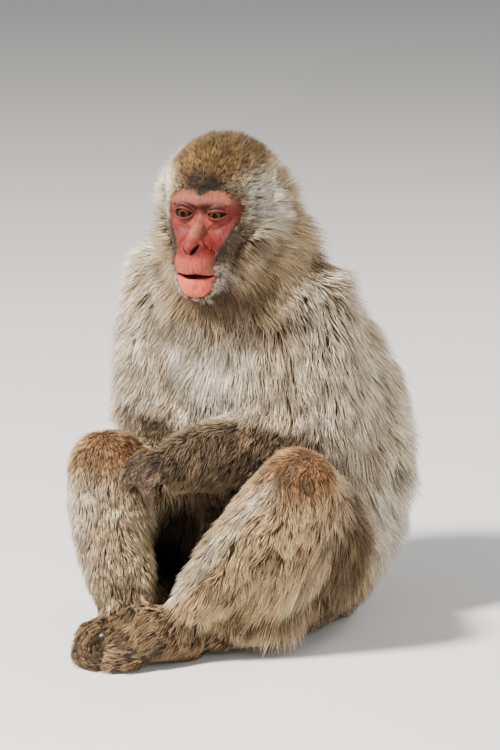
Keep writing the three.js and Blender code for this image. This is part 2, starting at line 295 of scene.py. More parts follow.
def lidAngles(p):
    # Angles round the eyeball, seen from its centre, on the mirrored side x > 0.
    q = p - np.array([headPlan["eyeSide"], 0, -headPlan["eyeSetback"]])
    turn = math.radians(lids["outward"])
    x = q[..., 0] * math.cos(turn) - q[..., 2] * math.sin(turn)
    z = q[..., 0] * math.sin(turn) + q[..., 2] * math.cos(turn)
    side = np.degrees(np.arctan2(x, np.maximum(z, 1e-3)))
    rise = np.degrees(np.arctan2(q[..., 1], np.sqrt(x * x + np.maximum(z, 1e-3) ** 2)))
    rise = rise - side * math.tan(math.radians(lids["tilt"]))
    return side, np.where(z > 0, rise, 90), np.linalg.norm(q, axis=-1)


def lidPoint(side, rise, reach, sign):
    rise = np.radians(rise + side * math.tan(math.radians(lids["tilt"])))
    turn = np.radians(side + lids["outward"])
    q = np.stack([np.sin(turn) * np.cos(rise), np.sin(rise), np.cos(turn) * np.cos(rise)], -1)
    p = q * np.asarray(reach)[..., None] + (headPlan["eyeSide"], 0, -headPlan["eyeSetback"])
    return p * (sign, 1, 1)


def lidEdges(side, isLeft):
    bow = np.clip(1 - (side / lids["halfWidth"]) ** 2, 0, 1)
    upper = np.where(isLeft, lids["upper"][1], lids["upper"][0])
    lower = np.where(isLeft, lids["lower"][1], lids["lower"][0])
    return upper * bow ** 0.75, -lower * bow ** 0.85


def bareHead(p, fine=True):
    m = mirrored(p)
    f = egg(m, (0, 14, -62), (46, 43, 54))                          # brain case
    f = blend(f, egg(m, (0, -16, -52), (42, 44, 42)), 14)           # skull base and jaw muscles
    f = blend(f, egg(m, (0, -8, -30), (41, 38, 27)), 8)             # face
    f = blend(f, rod(m, (0, 13, -5), (26, 10, -13), 8.5, 7.5), 6)   # brow ridge
    f = blend(f, rod(m, (0, -4, -11), (0, -24, 23), 6.6, 6.6), 6)   # bridge of the nose
    f = blend(f, rod(m, (25, -16, -15), (17, -38, -4), 11, 10.5), 8)    # cheekbone
    f = blend(f, rod(m, (0, -38, -12), (0, -42, 12), 26.5, 20), 8)  # muzzle
    f = blend(f, rod(m, (4, -64, -16), (4, -65, 11), 19, 14.5), 7)  # lower jaw
    if not fine:
        return f
    f = blend(f, egg(m, (0, -24.5, 27), (5.6, 5.5, 7)), 4)           # tip of the nose
    f = blend(f, rod(m, (2.6, -29, 27), (8.4, -25.5, 20), 4.0, 3.5), 2.6)  # wings of the nose
    f = blend(f, rod(m, (0, -46.5, 22), (16, -47, 13), 9, 8), 5)    # upper lip
    f = blend(f, rod(m, (0, -62, 21), (15, -61.5, 12), 6.8, 5.8), 3.5)  # lower lip
    f = blend(f, egg(m, (0, -72, 14), (13, 8.5, 9)), 5)             # chin
    f = carve(f, egg(m, (16, 0.5, 5.5), (16, 9.8, 12)), 4.5)        # eye socket
    f = carve(f, egg(m, (0, 1.5, 8), (9, 6, 9)), 4)                 # root of the nose
    f = carve(f, rod(m, (9, 4.5, 3), (26, 6.5, -6), 1.6, 1.4), 2)   # crease under the brow
    f = blend(f, rod(m, (8, -11.5, -3), (26, -9, -14), 3.2, 3), 4)  # pouch under the eye
    f = blend(f, lidAngles(m)[2] - lids["radius"], 2.2)             # lids over the eyeball
    f = carve(f, rod(m, (0, -39, 33.5), (0, -48, 33.5), 1.0, 1.2), 1.6)    # groove of the upper lip
    f = carve(f, rod(m, (12.0, -24, 15), (24, -46, 8), 1.2, 1.2), 2.2)  # fold beside the nose
    return f


def headSurface(p, fine=True, rounds=5):
    # Moves points, in the head's own axes, on to the head.
    step = 0.15
    p = np.array(p, float)
    for _ in range(rounds):
        f = bareHead(p, fine)
        slope = np.stack([(bareHead(p + d, fine) - bareHead(p - d, fine)) / (2 * step)
                          for d in np.eye(3) * step], -1)
        size = np.maximum((slope ** 2).sum(-1, keepdims=True), 0.15)
        p -= np.clip(f, -3, 3)[..., None] * slope / size
    return p


faceOpenings = {
    "mouthWidth": 20.5, "mouthHeight": 3.3,        # halves, mm
    "mouthLine": -55.3, "mouthDepth": 9,
    "nostril": ((2.0, -31.6), (8.0, -24.2)),       # the slit's two ends
    "nostrilWidth": (1.0, 2.1),                    # right and left
    "nostrilDepth": 7,
    "soft": 0.45,                                  # how gradually an opening begins, mm
}


faceFolds = {
    "lidFold": 13, "pouch": 14, "lidWidth": 4.0,     # degrees from the lid's edge, and how wide
    "above": (23, 33), "aboveWidth": 2.8,
    "below": (25, 36, 48), "belowWidth": 3.2,
    "depth": 0.5, "ripple": 0.14,                    # mm
    "foldDepth": 1.3, "pouchDepth": 0.7,
}


def ridges(turn, places, width):
    return sum(np.exp(-((turn - place) / width) ** 2) for place in places)


def wrinkled(p, m, side, rise, upper, lower):
    # Fine folds round the eyes, down the muzzle and over the cheeks, fractions of a millimetre deep.
    f = faceFolds
    above = ridges(rise - upper, f["above"], f["aboveWidth"]) * smooth(66 - np.abs(side), 0, 25)
    above *= smooth(13 - p[:, 1], 0, 4)
    below = ridges(lower - rise, f["below"], f["belowWidth"]) * smooth(60 - np.abs(side), 0, 25)
    below *= smooth(-p[:, 1], 2, 8)
    muzzle = smooth(-p[:, 1], 34, 42) * smooth(p[:, 1], -84, -60)
    grain = lumps(m * (1, 0.6, 1), 1.7, 21) * 0.24 + lumps(m * (1.4, 0.7, 1), 3.4, 22) * 0.36
    folds = f["depth"] * below + f["depth"] * above + grain * (0.6 + 0.4 * muzzle)
    folds = folds + f["ripple"] * muzzle * np.sin(m[:, 0] * 1.5 + 0.12 * m[:, 1])
    front = smooth(p[:, 2], -26, -16)
    return p - unit(p - (0, -20, -45)) * (folds * front)[:, None]


def openFace(p):
    # Sinks the mouth, the nostrils and the openings of the lids; returns how much painted shade each point
    # gets there.
    o, f = faceOpenings, faceFolds
    p = np.array(p, float)
    m = mirrored(p)
    across = np.clip(m[:, 0] / o["mouthWidth"], 0, 1)
    half = o["mouthHeight"] * (1 - across ** 2.2)
    line = o["mouthLine"] - 1.6 * across ** 2 + 0.5 * np.sin(p[:, 0] * 0.35)
    mouth = smooth(half - np.abs(p[:, 1] - line), 0, o["soft"]) * (p[:, 2] > 0) * (across < 1)
    a, b = np.array(o["nostril"][0]), np.array(o["nostril"][1])
    t = np.clip((m[:, :2] - a) @ (b - a) / ((b - a) @ (b - a)), 0, 1)
    off = np.linalg.norm(m[:, :2] - a - t[:, None] * (b - a), axis=1)
    wide = np.where(p[:, 0] > 0, o["nostrilWidth"][1], o["nostrilWidth"][0])
    wide = wide * (0.45 + 0.55 * np.sin(np.pi * np.clip(t * 0.8 + 0.2, 0, 1)))
    nostril = smooth(wide - off, -0.1, o["soft"]) * (p[:, 2] > 12)
    side, rise, reach = lidAngles(m)
    upper, lower = lidEdges(side, p[:, 0] > 0)
    within = np.minimum(upper - rise, rise - lower) * math.pi / 180 * lids["radius"]
    eye = smooth(within, 0.1, 0.1 + o["soft"]) * (np.abs(side) < lids["halfWidth"]) * (p[:, 2] > -12)
    fold = ridges(rise - upper, [f["lidFold"]], f["lidWidth"]) * smooth(70 - np.abs(side), 0, 20)
    bag = ridges(lower - rise, [f["pouch"]], f["lidWidth"]) * smooth(62 - np.abs(side), 0, 20)
    near = (reach < 16) & (p[:, 2] > -14)
    p = wrinkled(p, m, side, rise, upper, lower)
    centre = np.array([headPlan["eyeSide"], 0, -headPlan["eyeSetback"]]) * np.stack(
        [np.sign(p[:, 0]), np.ones(len(p)), np.ones(len(p))], 1)
    outward = unit(p - centre)
    p -= outward * ((fold * f["foldDepth"] + bag * f["pouchDepth"]) * near)[:, None]
    p += (centre + outward * lids["bed"] - p) * eye[:, None]
    p[:, 2] -= mouth * o["mouthDepth"] + nostril * o["nostrilDepth"]
    # Painted shade: full in the mouth and nostrils, a little less in the lid openings.
    dark = np.maximum(np.maximum(mouth, nostril), eye * 0.8)
    return p, dark, fold * near, bag * near


def headBall():
    # A closed shell on the plain head, used as the first shape of the skin there.
    centre = np.array([0, -10, -52.0])
    rows, columns = 44, 64
    tilt = np.linspace(0, math.pi, rows + 1)[1:-1]
    spin = np.linspace(0, 2 * math.pi, columns, endpoint=False)
    direction = np.concatenate([[(0, 0, 1)], sphereGrid(tilt, spin).reshape(-1, 3), [(0, 0, -1)]])
    outside = np.full(len(direction), 15.0)
    for reach in np.arange(15, 125, 1.0):
        hit = bareHead(centre + direction * reach, False) < 0
        outside = np.where(hit, reach + 1, outside)
    inside = outside - 1
    for _ in range(8):
        middle = (inside + outside) / 2
        hit = bareHead(centre + direction * middle[:, None], False) < 0
        inside, outside = np.where(hit, middle, inside), np.where(hit, outside, middle)
    verts = centre + direction * inside[:, None]
    faces = []
    last = len(verts) - 1
    for i in range(columns):
        j = (i + 1) % columns
        faces.append((0, 1 + i, 1 + j))
        for r in range(len(tilt) - 1):
            a = 1 + r * columns
            faces.append((a + i, a + columns + i, a + columns + j))
            faces.append((a + i, a + columns + j, a + j))
        a = 1 + (len(tilt) - 1) * columns
        faces.append((last, a + j, a + i))
    return fromHead(verts), np.array(faces)


# How thick the coat is over the skin, mm. On the head it follows the bare head's own shape.
coatDepth = {
    "trunk": 22, "neck": 24, "tail": 9, "upper_arm": 17, "forearm": 6.5, "hand": 2.2, "thigh": 14,
    "shin": 9, "foot": 3.2,
}
fleshNodes = [n for n in sorted(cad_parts) if not n.startswith(("eye", "ear"))]


def kindOf(node):
    return node.replace("_left", "").replace("_right", "")


kindNames = [kindOf(n) for n in fleshNodes]
isHead = kindNames.index("head")


def shareOf(weights, *kinds):
    # How much of each point belongs to parts of these kinds.
    return weights[:, [k in kinds for k in kindNames]].sum(1)


def nodeMesh(node):
    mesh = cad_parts[node].data
    verts, index = np.unique(np.round(vertsOf(mesh), 6), axis=0, return_inverse=True)
    tris = index.ravel()[trianglesOf(mesh)]
    keep = (tris[:, 0] != tris[:, 1]) & (tris[:, 1] != tris[:, 2]) & (tris[:, 0] != tris[:, 2])
    return verts, tris[keep]


def grown(verts, tris, amount):
    corner = verts[tris]
    face = np.cross(corner[:, 1] - corner[:, 0], corner[:, 2] - corner[:, 0])
    normal = np.zeros_like(verts)
    for c in range(3):
        np.add.at(normal, tris[:, c], face)
    return verts + unit(normal) * amount


def joined(parts):
    verts, tris, start = [], [], 0
    for v, t in parts:
        verts.append(v)
        tris.append(t + start)
        start += len(v)
    return np.concatenate(verts), np.concatenate(tris)


skinPlan = {
    "overlap": 0.0005,      # closes the cuts between the solids
    "firstVoxel": 0.004,
    "voxel": 0.0028,
    "pressed": 55,          # height over which the coat is flattened by the floor, mm
    "kneeCoat": 0.5,        # share of the coat left over the knees
    "creaseRounds": 90,     # how widely the coat fills the creases between limbs
    "groove": 3.4,          # depth between two digits, mm
    "innerLift": 0.0012,    # least height over the floor before and after the last shaping, m
    "lift": 0.0008,
}


def treeOf(verts, faces):
    return BVHTree.FromPolygons([tuple(p) for p in verts.tolist()], [tuple(f) for f in faces.tolist()])


def distances(points, tree):
    return np.array([tree.find_nearest(Vector(p))[3] for p in points.tolist()])


# Long hair that hangs from each calf over the haunch: a line and its radii, mm.
calfHair = {
    "left": dict(line=((96, -60, 150), (82, -62, 96), (54, -63, 41), (26, -96, 24)), radii=(40, 46, 34, 19)),
    "right": dict(line=((-112, -58, 140), (-112, -54, 92), (-100, -58, 46)), radii=(32, 30, 26)),
}


def withinSolids(points, parts):
    # Whether each point lies within half a millimetre of a solid or inside one.
    inside = np.zeros(len(points), bool)
    for verts, tris in parts.values():
        tree = treeOf(verts, tris)
        for i, p in enumerate(points.tolist()):
            near, normal, _, gap = tree.find_nearest(p, 0.06)
            if near is not None:
                inside[i] |= gap < 0.0005 or (Vector(p) - near).dot(normal) < 0
    return inside


def beads(line, radii):
    # A row of balls close together along a line, as one list of points and triangles.
    ball = bmesh.new()
    bmesh.ops.create_icosphere(ball, subdivisions=3, radius=1)
    points = np.array([v.co[:] for v in ball.verts])
    tris = np.array([[v.index for v in f.verts] for f in ball.faces])
    ball.free()
    rows = []
    for t in np.linspace(0, len(line) - 1, 17):
        i = min(int(t), len(line) - 2)
        centre = np.array(line[i], float) + (np.array(line[i + 1], float) - line[i]) * (t - i)
        radius = radii[i] + (radii[i + 1] - radii[i]) * (t - i)
        rows.append((fromDrawing(centre + points * radius), tris))
    return rows


def bodyUnderCoat():
    # The outside of the coat as one closed form, and the flesh some way inside it.
    parts = {n: nodeMesh(n) for n in fleshNodes}
    forms = [(grown(v, t, skinPlan["overlap"]), t) for v, t in parts.values()]
    for hanging in calfHair.values():
        forms += beads(hanging["line"], hanging["radii"])
    verts, tris = joined(forms)
    mesh = remeshed(objectFrom("coatShape", meshFrom("coatShape", verts, tris)), skinPlan["firstVoxel"])
    verts, edges, quads = vertsOf(mesh), edgesOf(mesh), quadsOf(mesh)
    weight = np.stack([np.exp(-distances(verts, treeOf(*part)) * 1000 / 3.0) for part in parts.values()], 1)
    weight = averaged(weight / weight.sum(1, keepdims=True), edges, 6)
    fine = shareOf(weight, "hand", "foot")
    outer = averaged(verts, edges, 10, 0.5 * (1 - 0.93 * smooth(fine, 0.2, 0.8)))
    moveTo(mesh, outer)
    normal = normalsOf(mesh)
    filled = ((averaged(outer, edges, skinPlan["creaseRounds"]) - outer) * normal).sum(1)
    bushy = 1 - shareOf(weight, "hand", "foot", "head")
    filled = np.clip(filled, 0, 0.02) * np.clip(bushy, 0, 1) * smooth(outer[:, 2], 0.01, 0.03)
    outer = outer + normal * averaged(filled, edges, 6)[:, None]
    moveTo(mesh, outer)
    own = np.array([coatDepth.get(k, 0) for k in kindNames]) * np.ones((len(outer), 1))
    own[:, isHead] = np.clip(bareHead(toHead(outer), False) + 3, 0, 45)
    depth = (weight * own).sum(1)
    drawing = toDrawing(outer)
    outside = distances(outer, treeOf(*joined(list(parts.values())))) * 1000
    depth += 0.7 * averaged(np.where(withinSolids(outer, parts), 0, outside), edges, 4)
    for side in ("left", "right"):
        knee = np.linalg.norm(drawing - joints[side]["knee"], axis=1)
        depth *= 1 - (1 - skinPlan["kneeCoat"]) * smooth(100 - knee, 0, 60)
    depth *= 0.12 + 0.88 * smooth(outer[:, 2] * 1000, 0, skinPlan["pressed"])
    depth = averaged(depth, edges, 12)
    outward = unit(averaged(normalsOf(mesh), edges, 10))
    inner = outer - outward * depth[:, None] / 1000
    inner = averaged(inner, edges, 4, 0.5 * (1 - smooth(fine, 0.2, 0.8)))
    inner[:, 2] = np.maximum(inner[:, 2], skinPlan["innerLift"])
    bpy.data.meshes.remove(mesh)
    return inner, outer, quads, weight


def refine(mesh, chosen):
    # Splits every edge between chosen points in two.
    bm = bmesh.new()
    bm.from_mesh(mesh)
    edges = [e for e in bm.edges if chosen[e.verts[0].index] and chosen[e.verts[1].index]]
    bmesh.ops.subdivide_edges(bm, edges=edges, cuts=1, use_grid_fill=True)
    bmesh.ops.triangulate(bm, faces=[f for f in bm.faces if len(f.verts) > 4])
    bm.to_mesh(mesh)
    bm.free()
    mesh.update()


def inBoxes(p, boxes):
    q = mirrored(p)
    return np.any([np.all((q > low) & (q < high), axis=1) for low, high in boxes], axis=0)


# Boxes of the head, mirrored, where the skin is split finer each time: least and greatest x, y, z.
finerBoxes = [
    [((-1, -92, -30), (48, 30, 60))],
    [((-1, -88, -24), (44, 24, 60))],
    [((2, -14, -14), (34, 14, 30)), ((-1, -38, 8), (14, -19, 60)), ((-1, -63, 0), (25, -48, 60))],
]


def digitRow(limb, i, keys):
    # Points on one of the four digits, counted from the first to the last.
    return [np.array(a, float) + (np.array(b, float) - a) * i / 3 for a, b in (limb[k] for k in keys)]


def alongDigits(points, limb):
    # Nearest and second nearest distance from points to the digits' own lines, mm.
    rows = []
    for i in range(4):
        middle = digitRow(limb, i, ("roots", "bends", "tips"))
        rows.append([np.array(limb["wrist"], float) * 0.5 + middle[0] * 0.5] + middle)
    rows.append([np.array(v, float) for v in limb["thumb"]])
    near = []
    for line in rows:
        gap = [rod(points, a, b, 0, 0) for a, b in zip(line, line[1:])]
        near.append(np.min(gap, axis=0))
    near = np.sort(near, axis=0)
    return near[0], near[1]


def digitGrooves(points):
    drawing = toDrawing(points)
    groove = np.zeros(len(points))
    for limb in limbEnds:
        first, second = alongDigits(drawing, limb)
        between = np.clip(1 - (second - first) / 4.5, 0, 1) ** 1.3
        groove = np.maximum(groove, between * smooth(18 - first, 0, 5))
    return groove


earPlan = {
    "base": (40, 4, -62), "rim": (61, 7, -82),     # middle of the ear where it grows and at its edge, mm
    "height": 17,                                  # half-height, mm
    "thick": 5.2, "dish": 5.0, "curl": 3.0,
    "turn": 112,                                   # degrees from the middle to each end of the rim
    "steps": 10, "turns": 24,                      # points outwards and round
}


def gridOver(rows, columns):
    # Quads of an open grid, and the same grid's edge as a loop of point numbers.
    r, c = np.meshgrid(np.arange(rows - 1), np.arange(columns - 1), indexing="ij")
    a = r * columns + c
    size = rows * columns
    quads = np.stack([a, a + 1, a + columns + 1, a + columns], -1).reshape(-1, 4)
    edge = list(range(columns)) + [(k + 1) * columns - 1 for k in range(1, rows)] \
        + [size - 1 - i for i in range(1, columns)] + [k * columns for k in range(rows - 2, 0, -1)]
    return quads, edge


def plateFaces(rows, columns):
    # Faces of a closed plate: front grid, back grid and the band between them.
    quads, edge = gridOver(rows, columns)
    size = rows * columns
    after = edge[1:] + edge[:1]
    band = [(a, a + size, b + size, b) for a, b in zip(edge, after)]
    return np.concatenate([quads, quads[:, ::-1] + size, np.array(band)])


def pinna(sign):
    # A shallow dish with a rolled edge, closed front and back.
    base, rim = (np.array(earPlan[k], float) * (sign, 1, 1) for k in ("base", "rim"))
    reach = rim - base
    upward = np.array([0, 1.0, 0])
    face = unit(np.cross(upward, reach) * sign)
    steps, turns = earPlan["steps"], earPlan["turns"]
    bend = np.radians(np.linspace(-earPlan["turn"], earPlan["turn"], turns))
    r, a = np.meshgrid(np.linspace(0, 1, steps), bend, indexing="ij")
    wide = earPlan["height"] * (1 + 0.1 * np.sin(a))
    flat = base + (r * np.clip(np.cos(a), -0.35, 1))[..., None] * reach
    flat = flat + (r * np.sin(a) * wide)[..., None] * upward
    bow = -earPlan["dish"] * np.sin(np.pi * np.clip(r * 0.9, 0, 1)) + earPlan["curl"] * smooth(r, 0.8, 1)
    layers = [flat + (bow + half * earPlan["thick"])[..., None] * face for half in (0.5, -0.5)]
    verts = np.concatenate([layer.reshape(-1, 3) for layer in layers])
    tris = halved(plateFaces(steps, turns))
    if sign > 0:
        tris = tris[:, ::-1]
    return fromHead(verts), tris


def makeSkin():
    inner, outer, quads, weight = bodyUnderCoat()
    headVerts, headTris = headBall()
    verts, tris = joined([(inner, halved(quads)), (headVerts, headTris), pinna(1), pinna(-1)])
    mesh = remeshed(objectFrom("underskin", meshFrom("underskin", verts, tris)), skinPlan["voxel"])
    verts = averaged(vertsOf(mesh), edgesOf(mesh), 3)
    moveTo(mesh, verts)
    for boxes in finerBoxes:
        local = toHead(vertsOf(mesh))
        refine(mesh, inBoxes(local, boxes) & (np.abs(bareHead(local, False)) < 12))
    onDigits = np.zeros(len(mesh.vertices), bool)
    drawing = toDrawing(vertsOf(mesh))
    for limb in limbEnds:
        onDigits |= alongDigits(drawing, limb)[0] < 24
    refine(mesh, onDigits)
    verts = vertsOf(mesh)
    groove = averaged(digitGrooves(verts), edgesOf(mesh), 1)
    verts -= unit(averaged(normalsOf(mesh), edgesOf(mesh), 3)) * groove[:, None] * skinPlan["groove"] / 1000
    verts[:, 2] = np.maximum(verts[:, 2], skinPlan["lift"])
    moveTo(mesh, verts)
    local = toHead(verts)
    onHead = smooth(5 - bareHead(local, False), 0, 3)
    near = onHead > 0
    moved = headSurface(local[near], False, 3)
    moved = headSurface(moved, True, 7)
    local[near] += onHead[near, None] * (moved - local[near])
    dark, fold, bag = np.zeros((3, len(verts)))
    local[near], dark[near], fold[near], bag[near] = openFace(local[near])
    verts[near] = fromHead(local[near])
    moveTo(mesh, verts)
    return mesh, dict(inner=inner, outer=outer, quads=quads, weight=weight, onHead=onHead,
                      dark=dark, fold=fold, bag=bag, groove=groove)


skinMesh, body = makeSkin()
skin = objectFrom("skin", skinMesh)
shadeSmooth(skinMesh)
print("skin made", len(skinMesh.vertices), len(skinMesh.polygons))

# What each point of the skin belongs to, and how thick the coat over it is.
skinVerts, skinEdges, skinNormals = vertsOf(skinMesh), edgesOf(skinMesh), normalsOf(skinMesh)
weight = body["weight"][nearestTo(skinVerts, body["inner"])]
weight[:, isHead] = np.maximum(weight[:, isHead], body["onHead"])
weight = averaged(weight / weight.sum(1, keepdims=True), skinEdges, 3)
outerTree = treeOf(body["outer"], body["quads"])
thickness = distances(skinVerts, outerTree) * 1000
local = toHead(skinVerts)
drawn = toDrawing(skinVerts)
print("coat measured")


# Heights on the head and half-widths of the bare face there, mm.
faceOutline = (
    (-78, 0), (-77, 8), (-75, 12), (-71.5, 15.5), (-67, 17.5), (-62, 18.8), (-57, 20), (-48, 19.5),
    (-40, 21), (-33, 22.5), (-25, 26), (-14, 31.5), (-6, 36), (0, 38), (6, 37), (12, 35.5), (18, 33),
    (24, 28), (32, 18),
)


def faceEdge(y):
    heights, widths = zip(*faceOutline)
    return np.interp(y, heights, widths)


def browLine(x):
    # Height of the hairline over the brow, with a peak between the brows.
    return 22.5 - 3.5 * np.exp(-((x - 1.5) / 5) ** 2) - 9 * smooth(np.abs(x), 18, 36)


def bareness(p):
    # 1 on the naked face, 0 where hair grows.
    ragged = 1.5 * lumps(p, 2.5, 3) + 0.8 * lumps(p, 1.2, 4)
    inside = np.minimum(faceEdge(p[:, 1]) - np.abs(p[:, 0]), browLine(p[:, 0]) - p[:, 1]) + ragged
    return smooth(inside, -1.5, 3.0) * smooth(p[:, 2], -34, -24)


bare = bareness(local) * weight[:, isHead]

faceTints = {
    "base": (114, 29, 24), "brow": (122, 68, 52), "cheek": (88, 14, 12), "bridge": (148, 98, 80),
    # The inside colour is painted shade in the mouth, the nostrils and the lid openings.
    # The socket colour is painted shade round the eyes.
    "lip": (196, 87, 65), "muzzle": (158, 67, 53), "socket": (34, 7, 6), "inside": (10, 3, 2),
    "grey": (84, 56, 44),
}


def mixed(a, b, t):
    t = np.asarray(t)[..., None]
    return a + (b - a) * t


def spot(p, centre, size):
    return np.exp(-(((p - centre) / size) ** 2).sum(-1))


def faceColour(p, dark, fold, bag):
    tint = {k: linear(v) for k, v in faceTints.items()}
    m = mirrored(p)
    c = np.tile(tint["base"], (len(p), 1))
    c = mixed(c, tint["brow"], smooth(p[:, 1], 5, 11))
    c = mixed(c, tint["cheek"], 0.85 * spot(m, (24, -15, -10), (12, 9, 14)))
    c = mixed(c, tint["cheek"], 0.6 * spot(m, (18, -28, 2), (8, 9, 14)))
    c = mixed(c, tint["bridge"], 0.7 * spot(m, (0, -15, 10), (9, 13, 18)))
    c = mixed(c, tint["muzzle"], 0.9 * smooth(-p[:, 1], 32, 40))
    c = mixed(c, tint["lip"], smooth(-p[:, 1], 57, 59))
    c = mixed(c, tint["brow"], 0.55 * spot(m, (19, -8.8, -4), (9, 1.8, 10)))
    # Painted shade under the brow ridge, at the root of the nose and in the fold over each upper lid.
    c = mixed(c, tint["socket"], np.clip(1.2 * spot(m, (14, 7.2, -2), (16, 3.0, 14)), 0, 1) * 0.85)
    c = mixed(c, tint["socket"], 0.85 * spot(m, (5, 2, 0), (5, 4.5, 14)))
    c = mixed(c, tint["socket"], 0.7 * np.clip(fold, 0, 1))
    c = mixed(c, tint["cheek"], 0.6 * np.clip(bag, 0, 1))
    # Painted shade beside the outer corner of each eye.
    c = mixed(c, tint["socket"], 0.55 * spot(m, (33, 0, -18), (5, 7, 12)))
    edge = faceEdge(p[:, 1]) - np.abs(p[:, 0])
    grey = 0.7 * smooth(6 - edge, 0, 6) * smooth(-p[:, 1], 2, 14) * smooth(p[:, 1], -56, -44)
    c = mixed(c, tint["grey"], grey)
    c = c * (1 + 0.14 * lumps(p, 4.0, 1) + 0.16 * lumps(p, 1.4, 2))[:, None]
    # Painted shade inside the mouth, the nostrils and the openings of the lids.
    return mixed(c, tint["inside"], np.clip(dark, 0, 1))


# Coat colours by region: at the root, along the hair and at its tip.
coatTints = {
    "trunk": ((112, 88, 64), (212, 185, 150), (250, 234, 208)),
    "chest": ((168, 146, 116), (246, 230, 202), (255, 250, 236)),
    "rump": ((74, 56, 38), (142, 118, 90), (190, 166, 136)),
    "neck": ((74, 54, 34), (160, 131, 96), (218, 192, 156)),
    "throat": ((42, 29, 17), (88, 68, 45), (148, 121, 87)),
    "crown": ((48, 33, 17), (95, 70, 38), (142, 111, 68)),
    "foreheadHair": ((22, 13, 6), (40, 26, 13), (68, 48, 27)),
    "temple": ((140, 120, 96), (214, 199, 178), (250, 242, 226)),
    "faceSide": ((46, 33, 22), (86, 67, 48), (136, 112, 86)),
    "ruff": ((60, 43, 26), (140, 112, 79), (222, 197, 158)),
    "beard": ((34, 23, 13), (66, 47, 28), (114, 90, 60)),
    "lipHair": ((116, 95, 76), (182, 165, 146), (224, 212, 196)),
    "upper_arm": ((112, 90, 68), (212, 188, 158), (248, 234, 210)),
    "forearm": ((37, 28, 19), (87, 69, 51), (156, 133, 104)),
    "hand": ((34, 25, 17), (79, 62, 45), (150, 125, 97)),
    "thigh": ((62, 44, 28), (152, 124, 91), (222, 197, 160)),
    "knee": ((84, 57, 34), (138, 99, 62), (180, 140, 100)),
    "shin": ((84, 61, 38), (170, 138, 96), (222, 195, 154)),
    # Pale shin coat, also used as painted light on the middle of the far shin.
    "shinPale": ((140, 118, 90), (230, 210, 178), (252, 242, 218)),
    # Painted shade in the hollow between the legs and low on the belly.
    "belly": ((16, 11, 7), (34, 24, 15), (60, 44, 30)),
    "foot": ((32, 22, 14), (84, 62, 42), (188, 158, 118)),
    # Painted shade on the back of the near thigh, beside the flank.
    "haunch": ((26, 18, 11), (70, 53, 36), (134, 109, 79)),
    "tail": ((90, 74, 56), (140, 120, 96), (176, 158, 134)),
}


# Middle of each knee's patch of short hair from the knee itself, and its radius, mm.
kneePatch = {"left": ((6, -10, 22), 50), "right": ((12, -10, 20), 44)}


def kneeShare(d):
    # 1 over each knee cap, 0 away from it.
    knee = np.zeros(len(d))
    for side, (offset, radius) in kneePatch.items():
        off = np.linalg.norm(d - joints[side]["knee"] - np.array(offset), axis=1)
        knee = np.maximum(knee, smooth(radius - off, 0, 28))
    return knee


def shadedGap(d):
    # 1 in the sheltered hollow between the legs, where painted shade makes the coat darkest.
    off = np.linalg.norm((d - (-42, -36, 94)) / (42, 52, 52), axis=1)
    return smooth(1.4 - off, 0, 0.5)


def instep(d):
    # 1 on the near leg below the line where the foot's dark hair begins.
    across = 0.866 * d[:, 0] + 0.5 * d[:, 1]
    return smooth(14 - 0.7 * across - d[:, 2], -7, 7) * (d[:, 0] > -35) * smooth(-d[:, 1], 60, 80)


def paleAndLitShin(d):
    # The pale front edge of the near shin, and the far one, palest on its outer side where its coat is
    # white; the lighter middle of the far shin is painted light.
    off = np.abs((d[:, 0] - 5) * 0.97 / 0.79 - (d[:, 2] - 50) + 30)
    near = smooth(22 - off, 0, 22) * (d[:, 0] > -12) * 0.85
    far = smooth(-d[:, 0], 40, 60) * (0.3 + 0.7 * smooth(-d[:, 0], 98, 118)) * smooth(190 - d[:, 2], 0, 30)
    return np.maximum(near, far)


def dealt(share, total, amounts):
    # Gives each name its part of what the names before it left; returns what is left over.
    for name, amount in amounts:
        part = total * np.clip(amount, 0, 1)
        share[name] = share.get(name, 0) + part
        total = total - part
    return total


def legAndArmShares(d, w, share):
    legs = w["thigh"] + w["shin"]
    onShin = w["shin"] / np.maximum(legs, 1e-6)
    # Painted shade on the back of the near thigh, beside the flank.
    haunch = 1.2 * spot(d, (112, 8, 108), (38, 44, 58))
    order = (("knee", kneeShare(d)), ("foot", instep(d)), ("belly", shadedGap(d)), ("haunch", haunch),
             ("shinPale", paleAndLitShin(d) * onShin), ("shin", onShin))
    share["thigh"] = dealt(share, legs, order)
    for name in ("upper_arm", "forearm", "hand", "tail"):
        share[name] = w[name]
    share["foot"] = share["foot"] + w["foot"]


def headShares(h, w, share):
    edge = np.maximum(np.abs(h[:, 0]) - faceEdge(h[:, 1]), (h[:, 1] - browLine(h[:, 0])) * 0.8)
    m = mirrored(h)
    crown = smooth(h[:, 1] - 0.25 * np.abs(h[:, 0]), 14, 28)
    forehead = 1.3 * spot(h, (0, 26, -10), (27, 10.5, 16))
    temple = spot(m, (49, 5, -38), (20, 20, 28)) * smooth(edge, 0, 4)
    temple = temple * np.where(h[:, 0] > 0, 1.9, 1.2)
    sideDark = smooth(14 - edge, 0, 9) * smooth(-5 - h[:, 1], 0, 12)
    sideDark = sideDark * smooth(h[:, 1], -52, -42) * (h[:, 2] > -44)
    lip = smooth(6 - edge, 0, 5) * smooth(-h[:, 1], 42, 48) * smooth(88 + h[:, 1], 0, 6) * (h[:, 2] > -16)
    beard = smooth(-h[:, 1], 60, 76)
    order = (("lipHair", lip), ("foreheadHair", forehead), ("faceSide", sideDark), ("temple", temple),
             ("crown", crown), ("beard", beard))
    share["ruff"] = dealt(share, w["head"], order)


